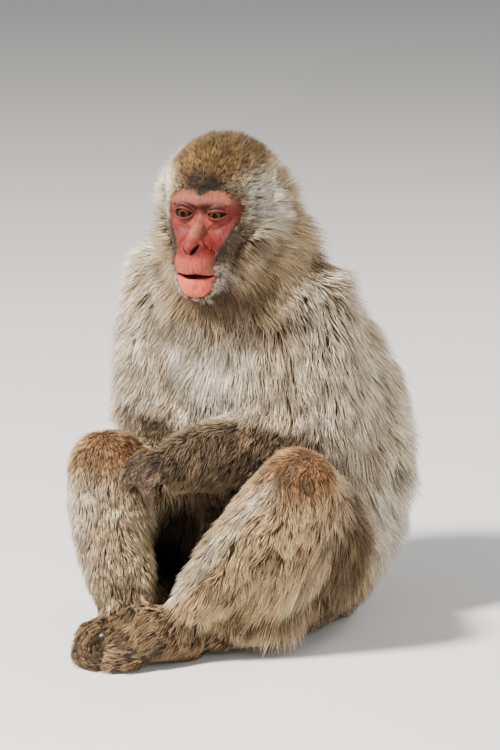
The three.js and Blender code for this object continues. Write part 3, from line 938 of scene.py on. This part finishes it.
def regions(p, kindWeight):
    # Share of each coat colour at each point.
    d = toDrawing(p)
    w = {k: shareOf(kindWeight, k) for k in kindNames}
    share = {}
    front = smooth(-d[:, 1], -30, 20) * smooth(66 - np.abs(d[:, 0] + 35), 0, 40)
    front = front * smooth(352 - d[:, 2], 0, 40)
    # A patch of the chest's pale colour on the flank, partly its own paler coat and partly painted light.
    paleAndLitFlank = 1.2 * spot(d, (112, 88, 130), (28, 42, 40))
    low = smooth(90 - d[:, 2], 0, 75)
    # Painted shade low on the front of the trunk and in the hollow between the legs.
    lapShade = np.maximum(smooth(175 - d[:, 2], 0, 50) * smooth(-d[:, 1], -60, -20), shadedGap(d))
    throat = spot(d, (-24, -60, 330), (52, 60, 27))
    mantle = smooth(d[:, 2], 285, 345)
    order = (("throat", throat), ("belly", lapShade), ("chest", np.maximum(front, paleAndLitFlank)), ("rump", low),
             ("neck", mantle))
    share["trunk"] = dealt(share, w["trunk"], order)
    neck = dealt(share, w["neck"], (("throat", throat), ("chest", 0.6 * front)))
    share["neck"] = share["neck"] + neck
    legAndArmShares(d, w, share)
    headShares(toHead(p), w, share)
    return share


def coatColour(p, kindWeight):
    # Colours at the root, middle and tip of the hair at each point, three rows of linear light.
    share = regions(p, kindWeight)
    total = sum(share.values())
    colour = np.zeros((3, len(p), 3))
    for name, amount in share.items():
        for k in range(3):
            colour[k] += (amount / np.maximum(total, 1e-6))[:, None] * linear(coatTints[name][k])
    d = toDrawing(p)
    patches = 1 + 0.2 * lumps(d, 36, 4) + 0.16 * lumps(d, 14, 5)
    return colour * patches[:, None]


def skinColour():
    under = coatColour(skinVerts, weight)
    under = under[0] * (0.9 - 0.45 * weight[:, isHead])[:, None]
    c = mixed(under, faceColour(local, body["dark"], body["fold"], body["bag"]), bare)
    return np.clip(c, 0, 1)


def paint(mesh, colour):
    layer = mesh.color_attributes.new("tone", "FLOAT_COLOR", "POINT")
    opaque = np.concatenate([colour, np.ones((len(colour), 1))], 1)
    layer.data.foreach_set("color", opaque.astype(np.float32).ravel())


paint(skinMesh, skinColour())


class nodeSheet:
    # A material's nodes, added by plain words.
    def __init__(self, name):
        self.material = bpy.data.materials.new(name)
        self.material.use_nodes = True
        self.tree = self.material.node_tree
        self.shader = self.tree.nodes["Principled BSDF"]

    def add(self, kind, **settings):
        node = self.tree.nodes.new(kind)
        for key, value in settings.items():
            setattr(node, key, value)
        return node

    def link(self, a, b):
        self.tree.links.new(a, b)

    def finish(self, values):
        for name, value in values.items():
            self.shader.inputs[name].default_value = value


def noiseOf(sheet, scale, detail=3):
    place = sheet.add("ShaderNodeTexCoord")
    noise = sheet.add("ShaderNodeTexNoise")
    noise.inputs["Scale"].default_value = scale
    noise.inputs["Detail"].default_value = detail
    sheet.link(place.outputs["Object"], noise.inputs["Vector"])
    return noise


def toneTimes(sheet, noise, low, high):
    # Painted colour, made a little lighter and darker by the noise.
    tone = sheet.add("ShaderNodeVertexColor", layer_name="tone")
    spread = sheet.add("ShaderNodeMapRange")
    spread.inputs["To Min"].default_value = low
    spread.inputs["To Max"].default_value = high
    sheet.link(noise.outputs[0], spread.inputs["Value"])
    mult = sheet.add("ShaderNodeVectorMath", operation="MULTIPLY")
    sheet.link(tone.outputs["Color"], mult.inputs[0])
    sheet.link(spread.outputs[0], mult.inputs[1])
    sheet.link(mult.outputs[0], sheet.shader.inputs["Base Color"])


skinFinish = {
    "Roughness": 0.55, "Specular IOR Level": 0.3, "Subsurface Weight": 0.12,
    "Subsurface Radius": (0.003, 0.0012, 0.0008), "Subsurface Scale": 1.0,
}


def skinMaterial():
    sheet = nodeSheet("face and body skin")
    toneTimes(sheet, noiseOf(sheet, 900), 0.8, 1.2)
    pores = noiseOf(sheet, 1600, 2)
    bump = sheet.add("ShaderNodeBump")
    bump.inputs["Strength"].default_value = 0.5
    bump.inputs["Distance"].default_value = 0.0005
    sheet.link(pores.outputs[0], bump.inputs["Height"])
    sheet.link(bump.outputs[0], sheet.shader.inputs["Normal"])
    sheet.finish(skinFinish)
    return sheet.material


skinMesh.materials.append(skinMaterial())
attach(skin, "root")
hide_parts(*fleshNodes, "ear_left", "ear_right")
print("skin painted")

coatPlan = {
    "tufts": 184000,
    "longOver": 30,        # tufts longer than this get one ring more, mm
    "patch": 0.003,        # size of a tuft's patch on the unwrap
    "floorGap": 0.6,       # mm
    "pieceLimit": 190000,  # triangles in one piece
    "fewest": 40,          # tufts that make a piece
    "bundle": (60, 0.6),   # tufts drawn loosely together, and how strongly
    "lock": (9, 0.75),     # the same within one lock
}


def unwrapSkin():
    # An unwrap of the skin's own shape; returns the map's place for each corner.
    bpy.context.view_layer.objects.active = skin
    skin.select_set(True)
    skinMesh.uv_layers.new(name="OFBake")
    bpy.ops.object.mode_set(mode="EDIT")
    bpy.ops.mesh.select_all(action="SELECT")
    bpy.ops.uv.smart_project(angle_limit=math.radians(66), island_margin=0.001)
    bpy.ops.object.mode_set(mode="OBJECT")
    skin.select_set(False)
    return readAll(skinMesh.uv_layers["OFBake"].data, "uv", 2)


def flowField():
    # Which way the hair lies at each point of the skin.
    d, h = drawn, local
    down = np.array([0, 0, -1.0])
    w = {k: shareOf(weight, k) for k in kindNames}
    flow = np.zeros_like(d)
    out = d - np.array([-27, 50, 0])
    out[:, 2] = 0
    out = unit(out)
    back = smooth(d[:, 1], 20, 110)[:, None] * np.array([0, 0.25, 0])
    flow += (w["trunk"] + w["neck"])[:, None] * (down + out * 0.3 + back)
    flow += w["tail"][:, None] * np.array([-0.2, 0.9, -0.5])
    for side in ("left", "right"):
        j = {k: np.array(v, float) for k, v in joints[side].items()}
        own = {k: weight[:, fleshNodes.index(k + "_" + side)][:, None]
               for k in ("upper_arm", "forearm", "hand", "thigh", "shin", "foot")}
        sign = 1 if side == "left" else -1
        flow += own["upper_arm"] * (unit(j["elbow"] - j["shoulder"]) + down * 0.3 + (0.15 * sign, 0.1, 0))
        flow += own["forearm"] * (unit(j["wrist"] - j["elbow"]) * 0.5 + down * 0.85)
        towards = unit(np.array([-0.75, -0.5, -0.5])) if side == "left" else np.array([0.2, -0.3, -1])
        flow += own["hand"] * towards
        flow += own["thigh"] * (down + np.array([0, -0.3, 0]))
        flow += own["shin"] * (unit(j["ankle"] - j["knee"]) * 0.55 + down * 0.7)
        toes = np.array(feet[side]["tips"], float).mean(0)
        flow += own["foot"] * (unit(toes + (0, 0, 6) - d) * 0.8 + down * 0.5)
    radial = np.stack([h[:, 0] * 1.7, h[:, 1] + 14, np.full(len(h), -26.0)], 1)
    radial[:, 1] -= 26 * smooth(-h[:, 1], -10, 30)
    nape = 1.3 * smooth(-h[:, 2], 86, 112)[:, None]
    flow += w["head"][:, None] * (unit(radial) @ headAxes.T + nape * down)
    flow -= (flow * skinNormals).sum(1)[:, None] * skinNormals
    return unit(averaged(unit(flow), skinEdges, 12))


# How the hair stands in each region: lean from the skin at root and tip in degrees, width in mm,
# how closely it grows, how far locks draw together, how unruly it is and its least length in mm.
hair = {
    "trunk": dict(leanRoot=42, leanTip=18, width=1.05, close=1.0, clump=0.5, unruly=0.22, least=22),
    "neck": dict(leanRoot=48, leanTip=24, width=1.0, close=1.15, clump=0.55, unruly=0.26, least=18),
    "tail": dict(leanRoot=40, leanTip=14, width=1.1, close=1.0, clump=0.4, unruly=0.2, least=14),
    "upper_arm": dict(leanRoot=42, leanTip=16, width=1.0, close=1.15, clump=0.5, unruly=0.2, least=20),
    "forearm": dict(leanRoot=32, leanTip=12, width=0.72, close=2.3, clump=0.35, unruly=0.16, least=10),
    "hand": dict(leanRoot=26, leanTip=8, width=0.62, close=4.2, clump=0.35, unruly=0.16, least=6.5),
    "thigh": dict(leanRoot=36, leanTip=14, width=1.0, close=1.45, clump=0.5, unruly=0.22, least=18),
    "shin": dict(leanRoot=36, leanTip=14, width=0.95, close=1.7, clump=0.5, unruly=0.2, least=18),
    "foot": dict(leanRoot=52, leanTip=14, width=0.8, close=3.2, clump=0.6, unruly=0.22, least=17),
    "head": dict(leanRoot=70, leanTip=44, width=0.54, close=4.8, clump=0.36, unruly=0.2, least=5.5),
}
kneeHair = dict(least=9, width=0.8, close=1.7)     # how hair on the knee caps differs from the leg's


def perPoint(key):
    return weight @ np.array([hair[k][key] for k in kindNames])


def scatter(count):
    # Roots spread over the skin, closest where the coat is short and fine.
    tris, loops = trianglesOf(skinMesh), trianglesOf(skinMesh, "loops")
    a, b, c = (skinVerts[tris[:, k]] for k in range(3))
    area = np.linalg.norm(np.cross(b - a, c - a), axis=1) / 2
    close = perPoint("close") * (1 - smooth(bare, 0.35, 0.75))
    close *= 1 - 0.85 * smooth(-skinNormals[:, 2], 0.75, 0.95) * smooth(14 - drawn[:, 2], 0, 10)
    close *= 1 + 1.4 * weight[:, isHead] * smooth(9 - thickness, 0, 5)
    close *= 1 + (kneeHair["close"] - 1) * kneeShare(drawn)
    chance = area * close[tris].mean(1)
    picked = np.sort(rng.choice(len(tris), count, p=chance / chance.sum()))
    u, v = rng.random((2, count))
    flip = u + v > 1
    u, v = np.where(flip, 1 - u, u), np.where(flip, 1 - v, v)
    return tris[picked], loops[picked], np.stack([1 - u - v, u, v], 1)


def at(values, corners, share):
    share = share if values.ndim == 1 else share[..., None]
    return (values[corners] * share).sum(1)


def creases():
    # 1 between two digits and where one foot lies against the other, 0 elsewhere.
    left, right = (weight[:, fleshNodes.index("foot_" + side)] for side in ("left", "right"))
    return np.clip(np.maximum(body["groove"], 4 * left * right), 0, 1)


def makeTufts():
    cornerMap = unwrapSkin()
    print("skin unwrapped")
    flow = flowField()
    corners, loops, share = scatter(coatPlan["tufts"])
    n = len(corners)
    t = dict(root=at(skinVerts, corners, share), normal=unit(at(skinNormals, corners, share)),
             flow=unit(at(flow, corners, share)), map=(cornerMap[loops] * share[..., None]).sum(1),
             thick=at(thickness, corners, share), bare=at(bare, corners, share),
             weight=at(weight, corners, share), groove=at(creases(), corners, share))
    for key in ("leanRoot", "leanTip", "width", "clump", "unruly", "least"):
        t[key] = at(perPoint(key), corners, share)
    t["side"] = unit(np.cross(t["normal"], t["flow"]))
    t["flow"] = unit(np.cross(t["side"], t["normal"]))
    rise = np.sin(np.radians(t["leanRoot"] * 0.55 + t["leanTip"] * 0.45))
    drawing = toDrawing(t["root"])
    knee = kneeShare(drawing) * (1 - t["weight"][:, isHead])
    t["least"] += (kneeHair["least"] - t["least"]) * knee * (t["least"] > kneeHair["least"])
    t["width"] *= 1 - (1 - kneeHair["width"]) * knee
    t["clump"] *= 1 - 0.5 * knee
    t["unruly"] *= 1 - 0.5 * knee
    natural = np.clip(t["thick"] / rise, t["least"], 60) * (1 - 0.5 * t["groove"])
    low = (1 - smooth(drawing[:, 2], 8, 62)) * (1 - shareOf(t["weight"], "foot"))
    natural *= 1 - 0.45 * low
    natural *= 1 + 0.5 * spot(toHead(t["root"]), (-48, 14, -40), (16, 22, 30))
    natural *= 1 - 0.45 * spot(drawing, (90, 30, 358), (30, 40, 26))
    needed = np.degrees(np.arcsin(np.clip(t["thick"] / natural, 0.06, 1)))
    flatter = np.clip(needed / np.degrees(np.arcsin(rise)), 0, 1)
    t["leanRoot"] *= flatter
    t["leanTip"] *= flatter
    t["length"] = natural * rng.uniform(0.8, 1.15, n)
    t["width"] *= np.clip(natural / 16, 0.55, 1) ** 0.5
    return t


def curveOf(t, steps):
    # Points along every tuft, root to tip.
    n = len(t["root"])
    place = t["root"] * 1000
    heading = rng.normal(0, 1, n) * t["unruly"] + 0.34 * lumps(place, 24, 7) + 0.2 * lumps(place, 9, 12)
    curl = rng.normal(0, 1, n) * t["unruly"] * 1.1 + (0.15 + 1.8 * t["unruly"]) * lumps(place, 13, 8)
    lift = 1 + 0.28 * lumps(place, 17, 14)
    lean = np.radians(t["leanRoot"]) * lift + rng.normal(0, 0.10, n)
    leanEnd = np.radians(t["leanTip"]) + rng.normal(0, 0.08, n)
    points = [t["root"] - t["normal"] * 0.0008]
    fine = 3 * (steps - 1)
    here = points[0]
    length = t["length"] / 1000
    for k in range(fine):
        s = (k + 0.5) / fine
        angle = lean + (leanEnd - lean) * s ** 0.8
        turn = heading + curl * s
        along = t["flow"] * np.cos(turn)[:, None] + t["side"] * np.sin(turn)[:, None]
        step = along * np.cos(angle)[:, None] + t["normal"] * np.sin(angle)[:, None]
        here = here + step * (length / fine)[:, None]
        if (k + 1) % 3 == 0:
            points.append(here)
    return np.stack(points, 1)


def clumped(t, points, share, strength):
    # Draws the ends of neighbouring tufts towards one lock, with one tuft in so many leading.
    n = len(points)
    seeds = rng.choice(n, n // share, replace=False)
    own = seeds[nearestTo(t["root"], t["root"][seeds])]
    span = np.linspace(0, 1, points.shape[1])[None, :, None] ** 1.6
    scale = (t["length"] / np.maximum(t["length"][own], 1))[:, None, None]
    target = t["root"][own][:, None] + (points[own] - t["root"][own][:, None]) * np.clip(scale, 0.5, 1.3)
    return points + (target - points) * span * (t["clump"] * strength)[:, None, None], own


def tuftMesh(name, points, side, width, colours, mapPlace):
    # Closed three-sided tufts, pointed at both ends, as one mesh.
    n, steps = points.shape[:2]
    rings = steps - 2
    tangent = unit(points[:, 2:] - points[:, :-2])
    across = unit(np.cross(tangent, np.cross(side[:, None], tangent)))
    lift = np.cross(tangent, across)
    share = np.linspace(0, 1, steps)[1:-1]
    taper = (1 - (share - 0.3).clip(0) ** 1.5)[None, :, None]
    ring = []
    for k in range(3):
        angle = 2 * math.pi * k / 3 + math.pi / 2
        offset = across * math.cos(angle) + lift * math.sin(angle) * 0.55
        ring.append(points[:, 1:-1] + offset * taper * width[:, None, None] / 2000)
    ring = np.stack(ring, 2).reshape(n, rings * 3, 3)              # tuft, ring by corner, xyz
    verts = np.concatenate([points[:, :1], ring, points[:, -1:]], 1)
    each = rings * 3 + 2
    tris = []
    for k in range(3):
        after = (k + 1) % 3
        tris.append((0, 1 + after, 1 + k))
        for r in range(rings - 1):
            a, b = 1 + r * 3 + k, 1 + r * 3 + after
            tris += [(a, b, b + 3), (a, b + 3, a + 3)]
        tris.append((each - 4 + k, each - 4 + after, each - 1))
    faces = (np.array(tris)[None] + (np.arange(n) * each)[:, None, None]).reshape(-1, 3)
    verts = verts.reshape(-1, 3)
    verts[:, 2] = np.maximum(verts[:, 2], coatPlan["floorGap"] / 1000)
    mesh = meshFrom(name, verts, faces)
    span = np.concatenate([[0.0], np.repeat(share, 3), [1.0]])
    root, middle, tip = colours
    first = np.clip(span / 0.5, 0, 1)[None, :, None]
    second = np.clip((span - 0.5) / 0.5, 0, 1)[None, :, None]
    colour = root[:, None] * (1 - first) + middle[:, None] * first
    colour = colour * (1 - second) + tip[:, None] * second
    paint(mesh, np.clip(colour.reshape(-1, 3), 0, 1))
    corner = np.concatenate([[0.5], np.tile([0, 0.5, 1.0], rings), [0.5]])
    patch = (np.stack([corner, span], 1) - 0.5) * coatPlan["patch"]
    place = (mapPlace[:, None] + patch[None]).reshape(-1, 2)
    onMap = np.clip(place, 0, 1)[faces.ravel()]
    mesh.uv_layers.new(name="OFBake").data.foreach_set("uv", onMap.astype(np.float32).ravel())
    shadeSmooth(mesh)
    return mesh


coatFinish = {"Roughness": 0.62, "Specular IOR Level": 0.22, "Sheen Weight": 0.03, "Sheen Roughness": 0.5}


def coatMaterial():
    sheet = nodeSheet("coat hair")
    toneTimes(sheet, noiseOf(sheet, 700, 2), 0.82, 1.18)
    sheet.finish(coatFinish)
    return sheet.material


def pieceOf(kind):
    return {"neck": "shoulders", "tail": "trunk"}.get(kind, kind)


hairMix = {
    "hair": 0.15, "lock": 0.17, "bundle": 0.2,       # how much lightness varies between them
    "groove": 0.65,                                  # how much painted shade darkens the hair in a groove
    "pale": 0.2, "dark": 0.88, "banded": (0.4, 0.6), # shares of single hairs, between 0 and 1
    "darkness": 0.58,
}


def hairColours(t, own, group):
    # Root, middle and tip colours; locks differ, and single hairs are pale, dark or banded.
    colours = coatColour(t["root"], t["weight"])
    n = len(t["root"])
    shade = 1 + hairMix["hair"] * rng.normal(0, 1, n)
    lock = (1 + hairMix["lock"] * rng.normal(0, 1, n))[own]
    lock = lock * (1 + hairMix["bundle"] * rng.normal(0, 1, n))[group]
    # Painted shade darkens the hair in the grooves between digits and where the feet touch.
    lightness = np.clip(shade * lock, 0.45, 1.6) * (1 - hairMix["groove"] * t["groove"])
    colours = colours * lightness[None, :, None]
    kind = rng.random(n)
    pale, dark = kind < hairMix["pale"], kind > hairMix["dark"]
    banded = (kind > hairMix["banded"][0]) & (kind < hairMix["banded"][1])
    colours[1, pale] = colours[1, pale] * 0.4 + colours[2, pale] * 0.75
    colours[:, dark] *= hairMix["darkness"]
    colours[1, banded] = colours[0, banded] * 1.05
    return np.clip(colours, 0, 1)


def growCoat():
    t = makeTufts()
    print("roots placed", len(t["root"]))
    material = coatMaterial()
    long = t["length"] > coatPlan["longOver"]
    points = curveOf(t, 4)
    points, group = clumped(t, points, *coatPlan["bundle"])
    points, own = clumped(t, points, *coatPlan["lock"])
    colours = hairColours(t, own, group)
    kind = np.array([pieceOf(k) for k in kindNames])[t["weight"].argmax(1)]
    short = points[:, [0, 2, 3]]
    short[:, 1] = (points[:, 1] + points[:, 2]) / 2
    total = 0
    for name in sorted(set(kind)):
        for longer, shape, each in ((True, points, 12), (False, short, 6)):
            pick = np.flatnonzero((kind == name) & (long == longer))
            limit = coatPlan["pieceLimit"] // each
            for part, start in enumerate(range(0, len(pick), limit)):
                sub = pick[start:start + limit]
                if len(sub) < coatPlan["fewest"]:
                    continue
                label = "coat_" + name + ("_long" if longer else "_short")
                if part:
                    label += "_" + str(part + 1)
                mesh = tuftMesh(label, shape[sub], t["side"][sub], t["width"][sub],
                                colours[:, sub], t["map"][sub])
                mesh.materials.append(material)
                piece = objectFrom(label, mesh)
                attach(piece, "root")
                total += len(mesh.polygons)
                print(label, len(mesh.polygons))
    print("coat grown", total)


growCoat()

eyePlan = {
    "pupil": 15, "iris": 36,         # degrees round the gaze
    "cornea": 0.8,                   # how far it stands out, mm
    "rows": 90, "columns": 72,
    "gazeDown": 3, "gazeSide": 0,    # degrees
    "tints": {"pupil": (3, 2, 2), "inner": (74, 43, 16), "outer": (28, 16, 7), "ring": (6, 4, 3),
              "white": (18, 9, 7)},
}


def gridFaces(rows, columns):
    # Quads of a grid that closes on itself across the columns.
    r, c = np.meshgrid(np.arange(rows - 1), np.arange(columns), indexing="ij")
    a, b = r * columns + c, r * columns + (c + 1) % columns
    return np.stack([a, b, b + columns, a + columns], -1).reshape(-1, 4)


def makeEye(side):
    sign = 1 if side == "left" else -1
    rows, columns = eyePlan["rows"], eyePlan["columns"]
    tilt = np.radians(np.linspace(0.3, 179.7, rows))
    spin = np.linspace(0, 2 * math.pi, columns, endpoint=False)
    degrees = np.degrees(tilt)
    edge = eyePlan["iris"] + 3
    bulge = np.where(degrees < edge, np.cos(np.clip(degrees / edge, 0, 1) * math.pi / 2) ** 1.4, 0)
    bulge = bulge * eyePlan["cornea"]
    reach = headPlan["eyeRadius"] + bulge - 0.25
    ring = sphereGrid(tilt, spin) * reach[:, None, None]
    turn = Matrix.Rotation(math.radians(eyePlan["gazeDown"]), 3, "X") @ Matrix.Rotation(
        math.radians(eyePlan["gazeSide"]), 3, "Y")
    p = ring.reshape(-1, 3) @ np.array(turn).T
    p += (sign * headPlan["eyeSide"], 0, -headPlan["eyeSetback"])
    mesh = meshFrom("eyeball_" + side, fromHead(p), gridFaces(rows, columns))
    tint = {k: linear(v) for k, v in eyePlan["tints"].items()}
    d = np.repeat(degrees, columns)
    streak = 0.5 + 0.5 * np.sin(np.tile(spin, rows) * 23 + 3 * lumps(p, 2.0, 9))
    c = np.tile(tint["white"], (len(p), 1))
    t = np.clip((d - eyePlan["pupil"]) / (eyePlan["iris"] - eyePlan["pupil"]), 0, 1)
    iris = mixed(tint["inner"], tint["outer"], t ** 1.5) * (0.75 + 0.5 * streak)[:, None]
    c = mixed(c, tint["ring"], smooth(eyePlan["iris"] + 5 - d, 0, 4))
    c = mixed(c, iris, smooth(eyePlan["iris"] - 1 - d, 0, 3))
    c = mixed(c, tint["pupil"], smooth(eyePlan["pupil"] - d, -1, 1))
    paint(mesh, c)
    shadeSmooth(mesh)
    eye = objectFrom("eyeball_" + side, mesh)
    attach(eye, "root")
    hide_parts("eye_" + side)
    return eye


wetFinish = {"Roughness": 0.12, "Specular IOR Level": 0.03, "Coat Weight": 0.06, "Coat Roughness": 0.03}


def wetMaterial():
    sheet = nodeSheet("wet eye")
    toneTimes(sheet, noiseOf(sheet, 1500, 2), 0.9, 1.1)
    sheet.finish(wetFinish)
    return sheet.material


def tube(points, radii, sides):
    # A closed loop of rings round a closed line.
    points, radii = np.asarray(points), np.asarray(radii)
    ahead = unit(np.roll(points, -1, 0) - np.roll(points, 1, 0))
    out = unit(points - points.mean(0))
    side = unit(np.cross(ahead, out))
    out = np.cross(side, ahead)
    angle = np.linspace(0, 2 * math.pi, sides, endpoint=False)
    ring = points[:, None] + (out[:, None] * np.cos(angle)[None, :, None]
                              + side[:, None] * np.sin(angle)[None, :, None]) * radii[:, None, None]
    ring = ring.reshape(-1, 3)
    return ring, gridFaces(len(points) + 1, sides) % len(ring)


rimPlan = {
    "reach": 11.15, "upper": 0.8, "lower": 0.65,      # mm
    "along": 40, "sides": 8,                          # points along a lid and round the rim
    "tints": {"rim": (92, 34, 28), "lash": (14, 5, 4), "lower": (98, 34, 28)},
}


def makeRims():
    parts, colours = [], []
    tint = {k: linear(v) for k, v in rimPlan["tints"].items()}
    along, sides = rimPlan["along"], rimPlan["sides"]
    for sign in (1, -1):
        side = np.concatenate([np.linspace(-1, 1, along), np.linspace(1, -1, along)[1:-1]])
        side = side * lids["halfWidth"]
        isUpper = np.arange(len(side)) < along
        upper, lower = lidEdges(side, sign > 0)
        middle = 1 - (side / lids["halfWidth"]) ** 2
        for shift, reach, thick, name in ((0, 0, 1.0, "rim"), (-3.0, -0.35, 0.62, "lash")):
            rise = np.where(isUpper, upper + shift, lower - shift)
            inset = 1 if name == "rim" else 0.97
            line = lidPoint(side * inset, rise, np.full(len(side), rimPlan["reach"] + reach), sign)
            radius = np.where(isUpper, rimPlan["upper"], rimPlan["lower"]) * thick
            ring, quads = tube(line, radius * (0.55 + 0.45 * middle ** 0.5), sides)
            parts.append((fromHead(ring), quads))
            lowerTint = tint["lower"] if name == "rim" else tint["lash"]
            colours.append(np.repeat(np.where(isUpper[:, None], tint[name], lowerTint), sides, axis=0))
    mesh = meshFrom("lid_rims", *joined(parts))
    paint(mesh, np.concatenate(colours))
    shadeSmooth(mesh)
    mesh.materials.append(skinMesh.materials[0])
    rims = objectFrom("lid_rims", mesh)
    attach(rims, "root")


nailPlan = {
    "length": 9.0, "width": 6.4, "thick": 1.1, "curve": 2.0,      # mm
    "above": 0.7, "hook": 2.2,
    "back": 0.35,                                                 # share of the length behind the tip
    "points": 9,                                                  # along and across
    "tint": (96, 84, 82), "roughness": 0.32,
}


def nailAt(bend, tip, out, skinTree):
    # A curved plate over the end of a digit.
    along = unit(np.array(tip, float) - np.array(bend, float))
    out = np.array(out, float)
    out = unit(out - along * (out @ along))
    side = np.cross(along, out)
    start = fromDrawing(np.array(tip, float) + along * 1.0 + out * 30)
    hit = skinTree.ray_cast(Vector(start), Vector(-out))
    if hit[0] is None:
        return None
    centre = toDrawing(np.array(hit[0]))
    count = nailPlan["points"]
    verts = []
    for layer in (0, 1):
        for i in range(count):
            t = i / (count - 1)
            rounded = math.sqrt(max(0, 1 - max(0, t - 0.6) ** 2 * 4))
            half = nailPlan["width"] / 2 * (1 - 0.25 * t) * rounded
            for k in range(count):
                w = k / (count - 1) * 2 - 1
                p = centre + along * (t - nailPlan["back"]) * nailPlan["length"] + side * half * w
                p = p - out * (nailPlan["curve"] * w * w + nailPlan["hook"] * max(0, t - 0.45) ** 2 * 4)
                verts.append(p + out * (nailPlan["above"] - layer * nailPlan["thick"]))
    return np.array(verts), plateFaces(count, count)


def nailMaterial():
    sheet = nodeSheet("nail horn")
    toneTimes(sheet, noiseOf(sheet, 500, 3), 0.75, 1.25)
    sheet.finish({"Roughness": nailPlan["roughness"]})
    return sheet.material


def makeNails():
    skinTree = treeOf(skinVerts, np.array([tuple(p.vertices)[:3] for p in skinMesh.polygons]))
    parts = []
    for limb in limbEnds:
        ends = [digitRow(limb, i, ("bends", "tips")) for i in range(4)] + [limb["thumb"][1:]]
        for bend, tip in ends:
            made = nailAt(bend, tip, limb["out"], skinTree)
            if made:
                parts.append((fromDrawing(made[0]), made[1]))
    verts, faces = joined(parts)
    verts[:, 2] = np.maximum(verts[:, 2], skinPlan["lift"])
    mesh = meshFrom("nails", verts, faces)
    bm = bmesh.new()
    bm.from_mesh(mesh)
    bmesh.ops.recalc_face_normals(bm, faces=bm.faces)
    bm.to_mesh(mesh)
    bm.free()
    paint(mesh, np.tile(linear(nailPlan["tint"]), (len(verts), 1)))
    shadeSmooth(mesh)
    mesh.materials.append(nailMaterial())
    nails = objectFrom("nails", mesh)
    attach(nails, "root")


wet = wetMaterial()
for side in ("left", "right"):
    makeEye(side).data.materials.append(wet)
makeRims()
makeNails()
print("eyes, lid rims and nails made")

studio = {
    "floor": 30,                     # half-width, m
    "camera": (0, -3000, 900),       # right of the animal, away from it and up, mm, in its own turn
    "turn": 30,                      # degrees round from the chest
    "down": 12,                      # degrees
    "lens": 147.2,
    "sky": (0.9, 0.92, 0.95, 1), "skyPower": 0.32,
}

# Place, target, size in metres, power and colour of each lamp.
lamps = {
    "key": ((-1.1, -2.6, 3.1), (0, 0, 0.25), 0.6, 550, (1, 0.94, 0.85)),
    "fill": ((2.9, -1.5, 1.4), (0, 0, 0.25), 2.0, 48, (1, 0.96, 0.9)),
    "rim": ((0.9, 2.4, 2.0), (0, 0, 0.3), 1.0, 40, (1, 0.97, 0.94)),
}


def layFloor():
    half = studio["floor"]
    corners = [(-half, -half, 0), (half, -half, 0), (half, half, 0), (-half, half, 0)]
    floor = objectFrom("floor", meshFrom("floor", corners, [(0, 1, 2, 3)]))


def placeCamera():
    turn = math.radians(studio["turn"])
    side, away, height = studio["camera"]
    place = (side * math.cos(turn) - away * math.sin(turn),
             side * math.sin(turn) + away * math.cos(turn), height)
    data = bpy.data.cameras.new("camera")
    data.lens = studio["lens"]
    data.clip_end = 100
    camera = objectFrom("camera", data)
    camera.location = fromDrawing(place)
    camera.rotation_euler = (math.radians(90 - studio["down"]), 0, turn)
    bpy.context.scene.camera = camera


def areaLight(name, place, target, size, power, colour):
    data = bpy.data.lights.new(name, "AREA")
    data.size = size
    data.energy = power
    data.color = colour
    lamp = objectFrom(name, data)
    lamp.location = place
    lamp.rotation_euler = (Vector(target) - Vector(place)).to_track_quat("-Z", "Y").to_euler()


layFloor()
placeCamera()
for name, settings in lamps.items():
    areaLight(name, *settings)
world = bpy.data.worlds.new("studio")
world.use_nodes = True
background = world.node_tree.nodes["Background"]
background.inputs[0].default_value = studio["sky"]
background.inputs[1].default_value = studio["skyPower"]
bpy.context.scene.world = world
print("floor, camera and lights placed")
